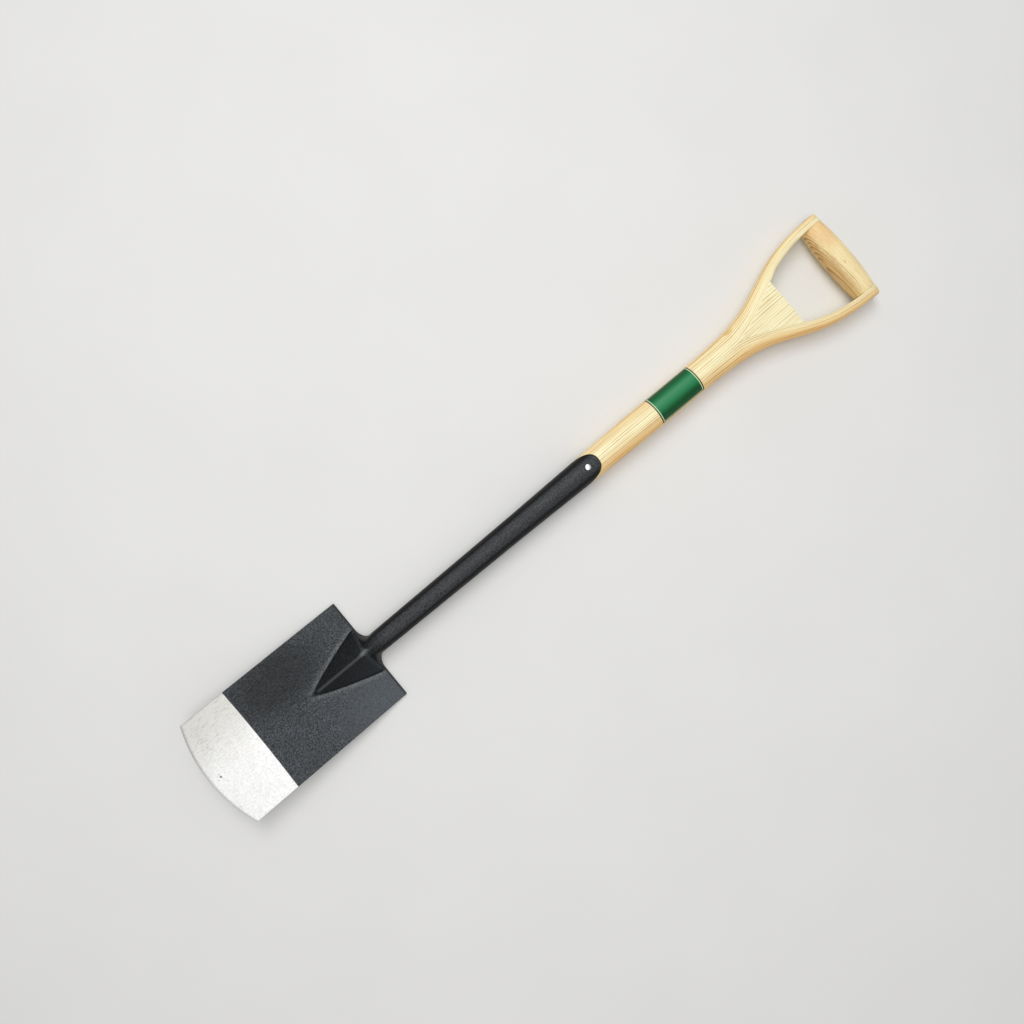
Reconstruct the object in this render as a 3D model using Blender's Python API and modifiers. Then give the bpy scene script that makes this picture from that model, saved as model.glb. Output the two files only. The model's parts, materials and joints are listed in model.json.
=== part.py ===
# A border spade, lying face up on the ground: a forged steel head, an ash shaft that is split
# and spread into a D, and a turned crossbar riveted between its arms. Sizes are in metres.
#
# The pieces are built along the shaft, whose axis is X: the cutting edge is near X = 0 and the
# crossbar at the far end, Y runs across the blade and Z points out of its face. An empty then
# lays them on the ground, where the spade rests on the heel of the blade and on its wood.

import math

import bmesh
import bpy
from mathutils import Vector

# Blade
BLADE_LENGTH = 0.236
EDGE_WIDTH = 0.1446
SHOULDER_WIDTH = 0.1424
EDGE_ARC_DEPTH = 0.0145
BLADE_THICKNESS = 0.0032
EDGE_THICKNESS = 0.0012
GROUND_LENGTH = 0.074
BLADE_RISE = 0.034
BLADE_BOW = 0.007
BLADE_DISH = 0.003
DISH_RUN_IN = 0.070
BLADE_CORNER_RADIUS = 0.0012
HEEL_DROP = 0.0200

# V-shaped ridge and neck
RIDGE_LENGTH = 0.0855
RIDGE_WIDTH = 0.0630
RIDGE_FULLNESS = 0.80
RIDGE_CORNER = 0.0065
RIDGE_TIP_WIDTH = 0.0020
RIDGE_ROUNDING = 0.10
RIDGE_SWELL = 1.25
RIDGE_SEAT = 0.0004
WEB_THICKNESS = 0.0024
FILLET_LENGTH = 0.0110
FILLET_WIDTH = 0.0170
NECK_FRONT_BLEND = 0.022
NECK_BACK_BLEND = 0.050

# Socket
SOCKET_LENGTH = 0.360
NECK_RADIUS = 0.01325
KNEE_FROM_SHOULDER = 0.236
KNEE_RADIUS = 0.01535
MOUTH_RADIUS = 0.0176
SOCKET_WALL = 0.0018
BORE_DEPTH = 0.300
TONGUE_LENGTH = 0.028
TONGUE_BLUNTNESS = 2.6
NOTCH_ROUNDING = 0.12
RIVET_FROM_TONGUE_TIP = 0.0160

# Shaft
SHAFT_RADIUS = 0.0186
SWELL_LENGTH = 0.072
PLAIN_SHAFT = 0.169
SHAFT_END_GAP = 0.004
SHAFT_END_CHAMFER = 0.003

# Fork of the D
SPLAY_LENGTH = 0.2190
SPLAY_STEEPNESS = 8.1
SPLAY_CENTRE = 0.545
SPLIT_FROM_SPLAY = 0.050
CROTCH_FROM_SPLAY = 0.1305
ARM_AT_CROTCH = 0.0142
ARM_AT_GRIP = 0.0128
ARM_DEPTH = 0.0290
FORK_CROWN = 0.12
ARM_SQUARENESS = 2.8
ARM_END_TURN = math.radians(78.0)
ARM_END_CORNER = 0.0045
ARM_INNER_ROUND = 0.0040
SEAT_INNER_ROUND = 0.0010
INNER_ROUND_RUN = 0.020
WEDGE_TIP = 0.0003

# Crossbar and its rod
GRIP_LENGTH = 0.1014
GRIP_RADIUS = 0.0170
GRIP_END_RADIUS = 0.0140
GRIP_EDGE = 0.0008
TENON_RADIUS = 0.0070
TENON_LENGTH = 0.0050
ROD_RADIUS = 0.0025
WASHER_RADIUS = 0.0065
WASHER_THICKNESS = 0.0012
WASHER_RECESS = 0.0020
CUTTER_OVERRUN = 0.010
ROD_HEAD_RADIUS = 0.0045
ROD_HEAD_HEIGHT = 0.0014

# Rivet in the socket
RIVET_RADIUS = 0.0028
RIVET_HEAD_RADIUS = 0.0036
RIVET_DOME = 0.0006
DOME_SHOULDER = 0.7

# Label
LABEL_START = 0.090
LABEL_LENGTH = 0.065
LABEL_LEFT = 74.0
LABEL_RIGHT = 66.0
LABEL_THICKNESS = 0.0003

# Pieces that touch keep this gap
FIT = 0.0003

# How finely the round forms are divided
SIDES = 40
HALF_SIDES = SIDES // 2
BLADE_COLUMNS = 14
GROUND_ROWS = 4
BLADE_ROWS = 8
RIDGE_ROWS = 8
CORNER_ROWS = 4
FILLET_ROWS = 6
NECK_ROWS = 7
SOCKET_ROWS = 4
FORK_ROWS = 7
ARM_END_CROWDING = 1.5
WEDGE_COLUMNS = 6
GRIP_ROWS = 8
HEAD_ROWS = 3
BEVEL_ROWS = 3
SHARP_ANGLE = 32.0

# Corners closer than this are one: while a mesh is made, where a Screw or Mirror closes it, and
# where the blade's corner edges are looked for
WELD = 0.0000001
MERGE = 0.00001
NEAR = 0.0001

# Places along the shaft
SHOULDER_X = BLADE_LENGTH
RIDGE_TIP_X = SHOULDER_X - RIDGE_LENGTH
FLANK_END_X = SHOULDER_X - RIDGE_CORNER
FILLET_END_X = SHOULDER_X + FILLET_LENGTH
KNEE_X = SHOULDER_X + KNEE_FROM_SHOULDER
TONGUE_TIP_X = SHOULDER_X + SOCKET_LENGTH
NOTCH_X = TONGUE_TIP_X - TONGUE_LENGTH
MOUTH_START_X = NOTCH_X - TONGUE_LENGTH
RIVET_X = TONGUE_TIP_X - RIVET_FROM_TONGUE_TIP
BORE_END_X = TONGUE_TIP_X - BORE_DEPTH
SHAFT_END_X = BORE_END_X + SHAFT_END_GAP
SPLAY_X = TONGUE_TIP_X + PLAIN_SHAFT
SPLIT_X = SPLAY_X + SPLIT_FROM_SPLAY
CROTCH_X = SPLAY_X + CROTCH_FROM_SPLAY
GRIP_X = SPLAY_X + SPLAY_LENGTH
SEAT_X = GRIP_X - GRIP_END_RADIUS
ARM_END_RADIUS = ARM_DEPTH / 2
SEAT_Y = GRIP_LENGTH / 2 + FIT
FORK_WIDTH = 2.0 * (SEAT_Y + ARM_AT_GRIP)


def mix(start, end, share):
    return start + (end - start) * share


def ease(share):
    share = min(max(share, 0.0), 1.0)
    return share * share * (3.0 - 2.0 * share)


def steps(start, end, count):
    return [mix(start, end, i / count) for i in range(count + 1)]


def linear_colour(red, green, blue):
    def channel(value):
        value /= 255.0
        return value / 12.92 if value <= 0.04045 else ((value + 0.055) / 1.055) ** 2.4

    return (channel(red), channel(green), channel(blue), 1.0)


# The scene, its collections and its materials

def clear_scene():
    for thing in list(bpy.data.objects):
        bpy.data.objects.remove(thing, do_unlink=True)


def new_collection(name):
    collection = bpy.data.collections.new(name)
    bpy.context.scene.collection.children.link(collection)
    return collection


def new_material(name, colour, roughness, metallic):
    material = bpy.data.materials.new(name)
    material.use_nodes = True
    shader = material.node_tree.nodes["Principled BSDF"]
    shader.inputs["Base Color"].default_value = colour
    shader.inputs["Roughness"].default_value = roughness
    shader.inputs["Metallic"].default_value = metallic
    return material


def shade(mesh):
    mesh.shade_smooth()
    mesh.set_sharp_from_angle(angle=math.radians(SHARP_ANGLE))


def add_piece(mesh, name, material):
    piece = bpy.data.objects.new(name, mesh)
    mesh.materials.append(material)
    pieces.objects.link(piece)
    piece.parent = lay
    return piece


def add_cutter(mesh, name):
    cutter = bpy.data.objects.new(name, mesh)
    cutter.hide_render = True
    cutter.display_type = "WIRE"
    cutters.objects.link(cutter)
    cutter.parent = lay
    return cutter


def combine(piece, other, operation):
    modifier = piece.modifiers.new(operation.lower() + "_" + other.name, "BOOLEAN")
    modifier.operation = operation
    modifier.solver = "EXACT"
    modifier.object = other


# Forms

def mesh_from(bm, name):
    bmesh.ops.remove_doubles(bm, verts=bm.verts, dist=WELD)
    bmesh.ops.recalc_face_normals(bm, faces=bm.faces)
    mesh = bpy.data.meshes.new(name)
    bm.to_mesh(mesh)
    bm.free()
    shade(mesh)
    return mesh


def add_strip(bm, one, two, closed):
    count = len(one)
    for i in range(count if closed else count - 1):
        j = (i + 1) % count
        corners = [one[i], one[j], two[j], two[i]]
        bm.faces.new(corners)


def loft(name, rings):
    """A closed skin over rings that all have the same number of points."""
    bm = bmesh.new()
    rows = [[bm.verts.new(point) for point in ring] for ring in rings]
    for one, two in zip(rows, rows[1:]):
        add_strip(bm, one, two, closed=True)
    bm.faces.new(rows[0])
    bm.faces.new(rows[-1])
    return mesh_from(bm, name)


def slab(name, front, back):
    """A closed sheet between two surfaces, each given as rows of points."""
    bm = bmesh.new()
    front_rows = [[bm.verts.new(point) for point in row] for row in front]
    back_rows = [[bm.verts.new(point) for point in row] for row in back]
    for rows in (front_rows, back_rows):
        for one, two in zip(rows, rows[1:]):
            add_strip(bm, one, two, closed=False)
    add_strip(bm, front_rows[0], back_rows[0], closed=False)
    add_strip(bm, front_rows[-1], back_rows[-1], closed=False)
    for side in (0, -1):
        front_edge = [row[side] for row in front_rows]
        back_edge = [row[side] for row in back_rows]
        add_strip(bm, front_edge, back_edge, closed=False)
    return mesh_from(bm, name)


def turned(name, profile, closed):
    """A profile of (radius, height) points, from the top down its outer side, for a Screw."""
    bm = bmesh.new()
    corners = [bm.verts.new((radius, 0.0, height)) for radius, height in profile]
    for one, two in zip(corners, corners[1:]):
        bm.edges.new((one, two))
    if closed:
        bm.edges.new((corners[-1], corners[0]))
    mesh = bpy.data.meshes.new(name)
    bm.to_mesh(mesh)
    bm.free()
    return mesh


def spin(piece, sides):
    screw = piece.modifiers.new("turn", "SCREW")
    screw.steps = sides
    screw.render_steps = sides
    screw.use_merge_vertices = True
    screw.merge_threshold = MERGE


def mirrored(profile):
    """The lower half of a turned profile, which is its upper half upside down."""
    return [(radius, -height) for radius, height in reversed(profile)]


# The blade

def edge_x(y):
    half = EDGE_WIDTH / 2
    radius = (half * half + EDGE_ARC_DEPTH ** 2) / (2 * EDGE_ARC_DEPTH)
    return radius - math.sqrt(radius * radius - y * y)


def blade_half_width(x):
    from_corner = max(x - EDGE_ARC_DEPTH, 0.0) / (BLADE_LENGTH - EDGE_ARC_DEPTH)
    return mix(EDGE_WIDTH, SHOULDER_WIDTH, from_corner) / 2


def blade_back(x, y):
    to_heel = SHOULDER_X - x
    share = to_heel / BLADE_LENGTH
    rise = (BLADE_RISE - BLADE_BOW) * share + BLADE_BOW * share * share
    dish = BLADE_DISH * (y / blade_half_width(x)) ** 2 * ease(to_heel / DISH_RUN_IN)
    return rise + dish - HEEL_DROP


def blade_front(x, y):
    from_edge = (x - edge_x(y)) / (GROUND_LENGTH - edge_x(y))
    return blade_back(x, y) + mix(EDGE_THICKNESS, BLADE_THICKNESS, min(from_edge, 1.0))


def round_blade_corners(blade):
    """Marks the four upright corner edges, and lets Bevel round them."""
    weights = blade.data.attributes.new("bevel_weight_edge", "FLOAT", "EDGE")
    for edge in blade.data.edges:
        one, two = (blade.data.vertices[i].co for i in edge.vertices)
        upright = math.hypot(one.x - two.x, one.y - two.y) < NEAR
        outer = abs(abs(one.y) - blade_half_width(one.x)) < NEAR
        at_end = one.x < EDGE_ARC_DEPTH + NEAR or one.x > SHOULDER_X - NEAR
        weights.data[edge.index].value = 1.0 if upright and outer and at_end else 0.0
    bevel = blade.modifiers.new("corners", "BEVEL")
    bevel.limit_method = "WEIGHT"
    bevel.width = BLADE_CORNER_RADIUS
    bevel.segments = BEVEL_ROWS


def blade_rows():
    """Rows of (x, y) across the blade, which turn from the arc of the edge to straight lines."""
    rows = []
    for share in steps(0.0, 1.0, GROUND_ROWS):
        half = blade_half_width(mix(EDGE_ARC_DEPTH, GROUND_LENGTH, share))
        across = steps(-half, half, BLADE_COLUMNS)
        rows.append([(mix(edge_x(y), GROUND_LENGTH, share), y) for y in across])
    for x in steps(GROUND_LENGTH, SHOULDER_X, BLADE_ROWS)[1:]:
        half = blade_half_width(x)
        rows.append([(x, y) for y in steps(-half, half, BLADE_COLUMNS)])
    return rows


def make_blade():
    rows = blade_rows()
    front = [[Vector((x, y, blade_front(x, y))) for x, y in row] for row in rows]
    back = [[Vector((x, y, blade_back(x, y))) for x, y in row] for row in rows]
    blade = add_cutter(slab("blade", front, back), "blade")
    round_blade_corners(blade)
    return blade


# The ridge, neck and socket

def socket_radius(x):
    if x < KNEE_X:
        share = (x - FILLET_END_X) / (KNEE_X - FILLET_END_X)
        return mix(NECK_RADIUS, KNEE_RADIUS, max(share, 0.0))
    share = (x - KNEE_X) / (TONGUE_TIP_X - KNEE_X)
    return mix(KNEE_RADIUS, MOUTH_RADIUS, share)


def rim_x(angle):
    """How far the mouth reaches at an angle round the socket: furthest at front and back."""
    plain_reach = (1.0 - abs(math.cos(angle)) ** TONGUE_BLUNTNESS) ** (1.0 / TONGUE_BLUNTNESS)
    reach = math.hypot(plain_reach, NOTCH_ROUNDING) - NOTCH_ROUNDING
    full = math.hypot(1.0, NOTCH_ROUNDING) - NOTCH_ROUNDING
    return NOTCH_X + TONGUE_LENGTH * reach / full


def web_back(x):
    return blade_back(min(x, SHOULDER_X), 0.0) + RIDGE_SEAT


def web_front(x):
    return web_back(x) + WEB_THICKNESS


def ridge_foot(x):
    """Half the width of the ridge, whose two edges swell a little on their way from its tip."""
    share = (x - RIDGE_TIP_X) / (FLANK_END_X - RIDGE_TIP_X)
    return mix(RIDGE_TIP_WIDTH, RIDGE_WIDTH, share ** RIDGE_FULLNESS) / 2


def ridge_top(x):
    share = (x - RIDGE_TIP_X) / (FILLET_END_X - RIDGE_TIP_X)
    climbed = 1.0 - max(1.0 - share, 0.0) ** RIDGE_SWELL
    return mix(web_front(RIDGE_TIP_X), NECK_RADIUS, climbed)


def peak(across):
    """Height of the ridge's section: 1 on the centre line, 0 at its foot, rounded on top."""
    run = math.hypot(across, RIDGE_ROUNDING) - RIDGE_ROUNDING
    full = math.hypot(1.0, RIDGE_ROUNDING) - RIDGE_ROUNDING
    return 1.0 - run / full


def neck_plan():
    """Places along the neck, each with the half width of the forging there."""
    shoulder_half = NECK_RADIUS + FILLET_WIDTH
    plan = [(x, ridge_foot(x)) for x in steps(RIDGE_TIP_X, FLANK_END_X, RIDGE_ROWS)]
    for angle in steps(0.0, math.pi / 2, CORNER_ROWS)[1:]:
        x = FLANK_END_X + RIDGE_CORNER * math.sin(angle)
        plan.append((x, mix(shoulder_half, RIDGE_WIDTH / 2, math.cos(angle))))
    for angle in steps(0.0, math.pi / 2, FILLET_ROWS)[1:]:
        x = SHOULDER_X + FILLET_LENGTH * (1.0 - math.cos(angle))
        plan.append((x, NECK_RADIUS + FILLET_WIDTH * (1.0 - math.sin(angle))))
    for x in steps(FILLET_END_X, SHOULDER_X + NECK_BACK_BLEND, NECK_ROWS)[1:]:
        plan.append((x, socket_radius(x)))
    return plan


def flank_top(x, y, half_width):
    """Height of the ridge's flank, which rounds down to the web where the forging ends."""
    above = (ridge_top(x) - web_front(x)) * peak(abs(y) / ridge_foot(x))
    inside = half_width - abs(y)
    if x < SHOULDER_X:
        beside = max(NECK_RADIUS + FILLET_WIDTH - abs(y), 0.0)
        inside = math.hypot(SHOULDER_X - x, beside)
    inside = min(inside / RIDGE_CORNER, 1.0)
    return web_front(x) + above * math.sqrt(inside * (2.0 - inside))


def neck_ring(x, half_width):
    """One section of the forging, between a ridge on a flat web and a round neck."""
    front = 1.0 - ease((x - SHOULDER_X) / NECK_FRONT_BLEND)
    back = 1.0 - ease((x - SHOULDER_X) / NECK_BACK_BLEND)
    ring = []
    for i in range(SIDES):
        angle = math.tau * i / SIDES
        y = half_width * math.cos(angle)
        height = socket_radius(x) * math.sin(angle)
        if i % HALF_SIDES == 0:
            middle = (web_back(x) + web_front(x)) / 2
            height = mix(0.0, middle, (front + back) / 2)
        elif i < HALF_SIDES:
            height = mix(height, flank_top(x, y, half_width), front)
        else:
            height = mix(height, web_back(x), back)
        ring.append(Vector((x, y, height)))
    return ring


def socket_ring(share, start_x, inward, past_rim=0.0):
    """A ring of the socket between a plain section and the shaped rim of its mouth."""
    ring = []
    for i in range(SIDES):
        angle = math.tau * i / SIDES
        x = mix(start_x, rim_x(angle) + past_rim, share)
        radius = socket_radius(x) - inward
        ring.append(Vector((x, radius * math.cos(angle), radius * math.sin(angle))))
    return ring


def plain_ring(x, radius):
    angles = [math.tau * i / SIDES for i in range(SIDES)]
    return [Vector((x, radius * math.cos(angle), radius * math.sin(angle))) for angle in angles]


def make_head():
    rings = [neck_ring(*section) for section in neck_plan()]
    for x in steps(SHOULDER_X + NECK_BACK_BLEND, KNEE_X, SOCKET_ROWS)[1:]:
        rings.append(plain_ring(x, socket_radius(x)))
    for share in steps(0.0, 1.0, SOCKET_ROWS):
        rings.append(socket_ring(share, MOUTH_START_X, 0.0))
    for share in steps(1.0, 0.0, SOCKET_ROWS):
        rings.append(socket_ring(share, MOUTH_START_X, SOCKET_WALL))
    for x in (KNEE_X, BORE_END_X):
        rings.append(plain_ring(x, socket_radius(x) - SOCKET_WALL))
    head = add_piece(loft("spade_head", rings), "spade_head", black_coat)
    combine(head, make_blade(), "UNION")
    combine(head, rivet_hole, "DIFFERENCE")
    return head


# The shaft and its fork

def splay(x):
    """How far the fork has spread: 0 on the plain shaft, 1 at the crossbar."""
    def curve(share):
        return 1.0 / (1.0 + math.exp(-SPLAY_STEEPNESS * (share - SPLAY_CENTRE)))

    share = min(max((x - SPLAY_X) / SPLAY_LENGTH, 0.0), 1.0)
    return (curve(share) - curve(0.0)) / (curve(1.0) - curve(0.0))


def shaft_radius(x):
    """The wood is flush with the socket at its mouth, and swells a little beyond it."""
    if x < TONGUE_TIP_X:
        return socket_radius(x)
    return mix(MOUTH_RADIUS, SHAFT_RADIUS, ease((x - TONGUE_TIP_X) / SWELL_LENGTH))


def end_corner(x):
    """How much the outer corner at the end of an arm is rounded off."""
    into = max(x - GRIP_X - ARM_END_RADIUS + ARM_END_CORNER, 0.0)
    return ARM_END_CORNER - math.sqrt(ARM_END_CORNER ** 2 - into ** 2)


def fork_outer(x):
    if x < SPLAY_X:
        return shaft_radius(x)
    return mix(SHAFT_RADIUS, FORK_WIDTH / 2, splay(x)) - end_corner(x)


def fork_inner(x):
    """Half the gap between the arms, which the wedge fills as far as the crotch."""
    if x <= SPLIT_X:
        return 0.0
    if x >= SEAT_X:
        return SEAT_Y
    if x < CROTCH_X:
        arm = mix(fork_outer(SPLIT_X), ARM_AT_CROTCH, (x - SPLIT_X) / (CROTCH_X - SPLIT_X))
    else:
        arm_at_seat = fork_outer(SEAT_X) - SEAT_Y
        arm = mix(ARM_AT_CROTCH, arm_at_seat, (x - CROTCH_X) / (SEAT_X - CROTCH_X))
    return fork_outer(x) - arm


def fork_share(x):
    return ease((x - SPLAY_X) / (CROTCH_X - SPLAY_X))


def fork_height(x, y):
    """Half the depth of the fork, crowned across it, and rounded off at the ends of the arms."""
    half = mix(shaft_radius(min(x, SPLAY_X)), ARM_DEPTH / 2, fork_share(x))
    crown = FORK_CROWN * fork_share(x) * (y / fork_outer(x)) ** 2
    past_grip = max(x - GRIP_X, 0.0) / ARM_END_RADIUS
    return half * (1.0 - crown) * math.sqrt(1.0 - past_grip * past_grip)


def inner_round(x):
    """Radius of an arm's inner edges: none along the wedge, small where the grip seats."""
    grow = ease((x - CROTCH_X) / INNER_ROUND_RUN)
    shrink = ease((x - SEAT_X + INNER_ROUND_RUN) / INNER_ROUND_RUN)
    return grow * mix(ARM_INNER_ROUND, SEAT_INNER_ROUND, shrink)


def outer_row(x):
    """Points round the outside of the left half, from its front edge to its back edge."""
    power = 2.0 / mix(2.0, ARM_SQUARENESS, fork_share(x))
    inner = fork_inner(x) + inner_round(x)
    outer = fork_outer(x)
    row = []
    for i in range(HALF_SIDES + 1):
        angle = math.pi * (0.5 - i / HALF_SIDES)
        y = inner + (outer - inner) * max(math.cos(angle), 0.0) ** power
        if i in (0, HALF_SIDES):
            y = inner
        height = fork_height(x, y) * abs(math.sin(angle)) ** power
        row.append(Vector((x, y, math.copysign(height, angle))))
    return row


def inner_row(x):
    """Points down the inner side of the left arm, between the two ends of its outer row."""
    inner = fork_inner(x)
    radius = inner_round(x)
    top = fork_height(x, inner + radius)
    corner = radius * (1.0 - math.sqrt(0.5))
    upper = [Vector((x, inner + corner, top - corner)), Vector((x, inner, top - radius))]
    middle = [Vector((x, inner, (top - radius) * share)) for share in (0.5, 0.0, -0.5)]
    lower = [Vector((x, point.y, -point.z)) for point in reversed(upper)]
    return upper + middle + lower


def step_row(share, start_x, inward, past_rim):
    """A row of the shaft that follows the shaped rim of the socket."""
    row = []
    for i in range(HALF_SIDES + 1):
        angle = math.pi * (0.5 - i / HALF_SIDES)
        x = mix(start_x, rim_x(angle) + past_rim, share)
        radius = shaft_radius(x) - inward
        row.append(Vector((x, radius * math.cos(angle), radius * math.sin(angle))))
    row[0].y = 0.0
    row[-1].y = 0.0
    return row


def shaft_rows():
    """The outside of the left half of the shaft, from its lower end to the end of its arm."""
    inward = SOCKET_WALL + FIT
    rows = [step_row(0.0, SHAFT_END_X, inward + SHAFT_END_CHAMFER, 0.0)]
    for x in (SHAFT_END_X + SHAFT_END_CHAMFER, KNEE_X):
        rows.append(step_row(0.0, x, inward, 0.0))
    for share in steps(0.0, 1.0, SOCKET_ROWS):
        rows.append(step_row(share, MOUTH_START_X, inward, FIT))
    past_tongue = TONGUE_TIP_X + TONGUE_LENGTH / 2
    for share in steps(1.0, 0.0, SOCKET_ROWS):
        rows.append(step_row(share, past_tongue, 0.0, FIT))
    for x in steps(past_tongue, TONGUE_TIP_X + SWELL_LENGTH, 2)[1:]:
        rows.append(outer_row(x))
    for x in steps(SPLAY_X, SPLIT_X, SOCKET_ROWS):
        rows.append(outer_row(x))
    return rows


def arm_places():
    """Places along an arm, from the split to its rounded end, where they crowd together."""
    places = steps(SPLIT_X, CROTCH_X, FORK_ROWS)[1:] + steps(CROTCH_X, SEAT_X, FORK_ROWS)[1:]
    for left in steps(1.0, 0.0, FORK_ROWS):
        turn = ARM_END_TURN * (1.0 - left ** ARM_END_CROWDING)
        places.append(GRIP_X + ARM_END_RADIUS * math.sin(turn))
    return places


def make_shaft():
    bm = bmesh.new()
    places = arm_places()
    outside = shaft_rows() + [outer_row(x) for x in places]
    inside = [inner_row(x) for x in [SPLIT_X] + places]
    outside_rows = [[bm.verts.new(point) for point in row] for row in outside]
    inside_rows = [[bm.verts.new(point) for point in row] for row in inside]
    split = len(outside_rows) - len(inside_rows)
    for i, row in enumerate(inside_rows):
        outer = outside_rows[split + i]
        inside_rows[i] = [outer[0]] + row + [outer[-1]]
    for rows in (outside_rows, inside_rows):
        for one, two in zip(rows, rows[1:]):
            add_strip(bm, one, two, closed=False)
    bm.faces.new(outside_rows[0])
    bm.faces.new(outside_rows[-1] + inside_rows[-1][-2:0:-1])
    shaft = add_piece(mesh_from(bm, "ash_shaft"), "ash_shaft", ash)
    mirror = shaft.modifiers.new("other half", "MIRROR")
    mirror.use_axis = (False, True, False)
    mirror.merge_threshold = MERGE
    combine(shaft, rod_hole, "DIFFERENCE")
    combine(shaft, rivet_hole, "DIFFERENCE")
    return shaft


def make_wedge():
    start_x = SPLIT_X
    while fork_inner(start_x) < WEDGE_TIP + FIT:
        start_x += FIT
    front = []
    for x in steps(start_x, CROTCH_X, FORK_ROWS):
        half_width = fork_inner(x) - FIT
        across = steps(-half_width, half_width, WEDGE_COLUMNS)
        front.append([Vector((x, y, fork_height(x, y))) for y in across])
    back = [[Vector((point.x, point.y, -point.z)) for point in row] for row in front]
    return add_piece(slab("yoke_wedge", front, back), "yoke_wedge", ash_filler)


# The crossbar, its rod and washers, turned about Y

def along_y(piece):
    piece.location = (GRIP_X, 0.0, 0.0)
    piece.rotation_euler = (-math.pi / 2, 0.0, 0.0)


def make_grip():
    half = GRIP_LENGTH / 2
    bore = ROD_RADIUS + FIT
    profile = [(bore, half + TENON_LENGTH), (TENON_RADIUS, half + TENON_LENGTH), (TENON_RADIUS, half)]
    profile.append((GRIP_END_RADIUS - GRIP_EDGE, half))
    for height in steps(half - GRIP_EDGE, 0.0, GRIP_ROWS):
        swell = 1.0 - (height / (half - GRIP_EDGE)) ** 2
        profile.append((mix(GRIP_END_RADIUS, GRIP_RADIUS, swell), height))
    profile += mirrored(profile[:-1])
    grip = add_piece(turned("crossbar_grip", profile, closed=True), "crossbar_grip", grip_ash)
    spin(grip, SIDES)
    along_y(grip)
    return grip


def make_rod():
    washer_face = FORK_WIDTH / 2 - WASHER_RECESS + FIT + WASHER_THICKNESS
    under_head = washer_face + FIT
    profile = [(0.0, under_head + ROD_HEAD_HEIGHT)]
    for angle in steps(0.0, math.pi / 2, HEAD_ROWS)[1:]:
        height = under_head + ROD_HEAD_HEIGHT * math.cos(angle)
        profile.append((ROD_HEAD_RADIUS * math.sin(angle), height))
    profile.append((ROD_RADIUS, under_head))
    profile += mirrored(profile)
    rod = add_piece(turned("crossbar_rod", profile, closed=False), "crossbar_rod", bright_steel)
    spin(rod, HALF_SIDES)
    along_y(rod)
    return rod


def make_washer(name, side):
    seat = FORK_WIDTH / 2 - WASHER_RECESS + FIT
    bore = ROD_RADIUS + FIT
    top = seat + WASHER_THICKNESS
    profile = [(bore, top), (WASHER_RADIUS, top), (WASHER_RADIUS, seat), (bore, seat)]
    if side < 0:
        profile = mirrored(profile)
    washer = add_piece(turned(name, profile, closed=True), name, bright_steel)
    spin(washer, HALF_SIDES)
    along_y(washer)
    return washer


def make_rod_hole():
    """The stepped hole through both arms: recess, rod hole, and a mortise for the tenon."""
    recess = FORK_WIDTH / 2 - WASHER_RECESS
    mortise = GRIP_LENGTH / 2 + TENON_LENGTH + FIT
    beyond = FORK_WIDTH / 2 + CUTTER_OVERRUN
    profile = [(0.0, beyond), (WASHER_RADIUS + FIT, beyond), (WASHER_RADIUS + FIT, recess)]
    profile += [(ROD_RADIUS + FIT, recess), (ROD_RADIUS + FIT, mortise), (TENON_RADIUS + FIT, mortise)]
    profile += mirrored(profile)
    cutter = add_cutter(turned("rod_hole", profile, closed=False), "rod_hole")
    spin(cutter, HALF_SIDES)
    along_y(cutter)
    return cutter


# The rivet through the tongues, turned about Z

def make_rivet():
    surface = socket_radius(RIVET_X)
    crown = surface + RIVET_DOME * (1.0 - DOME_SHOULDER ** 2)
    profile = [(0.0, surface + RIVET_DOME), (RIVET_HEAD_RADIUS * DOME_SHOULDER, crown)]
    profile += [(RIVET_HEAD_RADIUS, surface), (RIVET_RADIUS, surface - SOCKET_WALL)]
    profile += mirrored(profile)
    rivet = add_piece(turned("socket_rivet", profile, closed=False), "socket_rivet", bright_steel)
    spin(rivet, HALF_SIDES)
    rivet.location = (RIVET_X, 0.0, 0.0)
    return rivet


def make_rivet_hole():
    surface = socket_radius(RIVET_X)
    beyond = surface + CUTTER_OVERRUN
    profile = [(0.0, beyond), (RIVET_HEAD_RADIUS + FIT, beyond), (RIVET_HEAD_RADIUS + FIT, surface)]
    profile.append((RIVET_RADIUS + FIT, surface - SOCKET_WALL))
    profile += mirrored(profile)
    cutter = add_cutter(turned("rivet_hole", profile, closed=False), "rivet_hole")
    spin(cutter, HALF_SIDES)
    cutter.location = (RIVET_X, 0.0, 0.0)
    return cutter


# The label

def make_label():
    bm = bmesh.new()
    columns = round((LABEL_LEFT + LABEL_RIGHT) * SIDES / 360.0)
    bmesh.ops.create_grid(bm, x_segments=1, y_segments=columns, size=0.5)
    for vert in bm.verts:
        x = TONGUE_TIP_X + LABEL_START + LABEL_LENGTH * (vert.co.x + 0.5)
        turn = math.radians(90.0 - mix(LABEL_LEFT, -LABEL_RIGHT, vert.co.y + 0.5))
        radius = shaft_radius(x) + FIT
        vert.co = Vector((x, radius * math.cos(turn), radius * math.sin(turn)))
    label = add_piece(mesh_from(bm, "handle_label"), "handle_label", green_paper)
    shell = label.modifiers.new("thickness", "SOLIDIFY")
    shell.thickness = LABEL_THICKNESS
    shell.offset = 1.0
    return label


# Laying the spade on the ground

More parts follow.
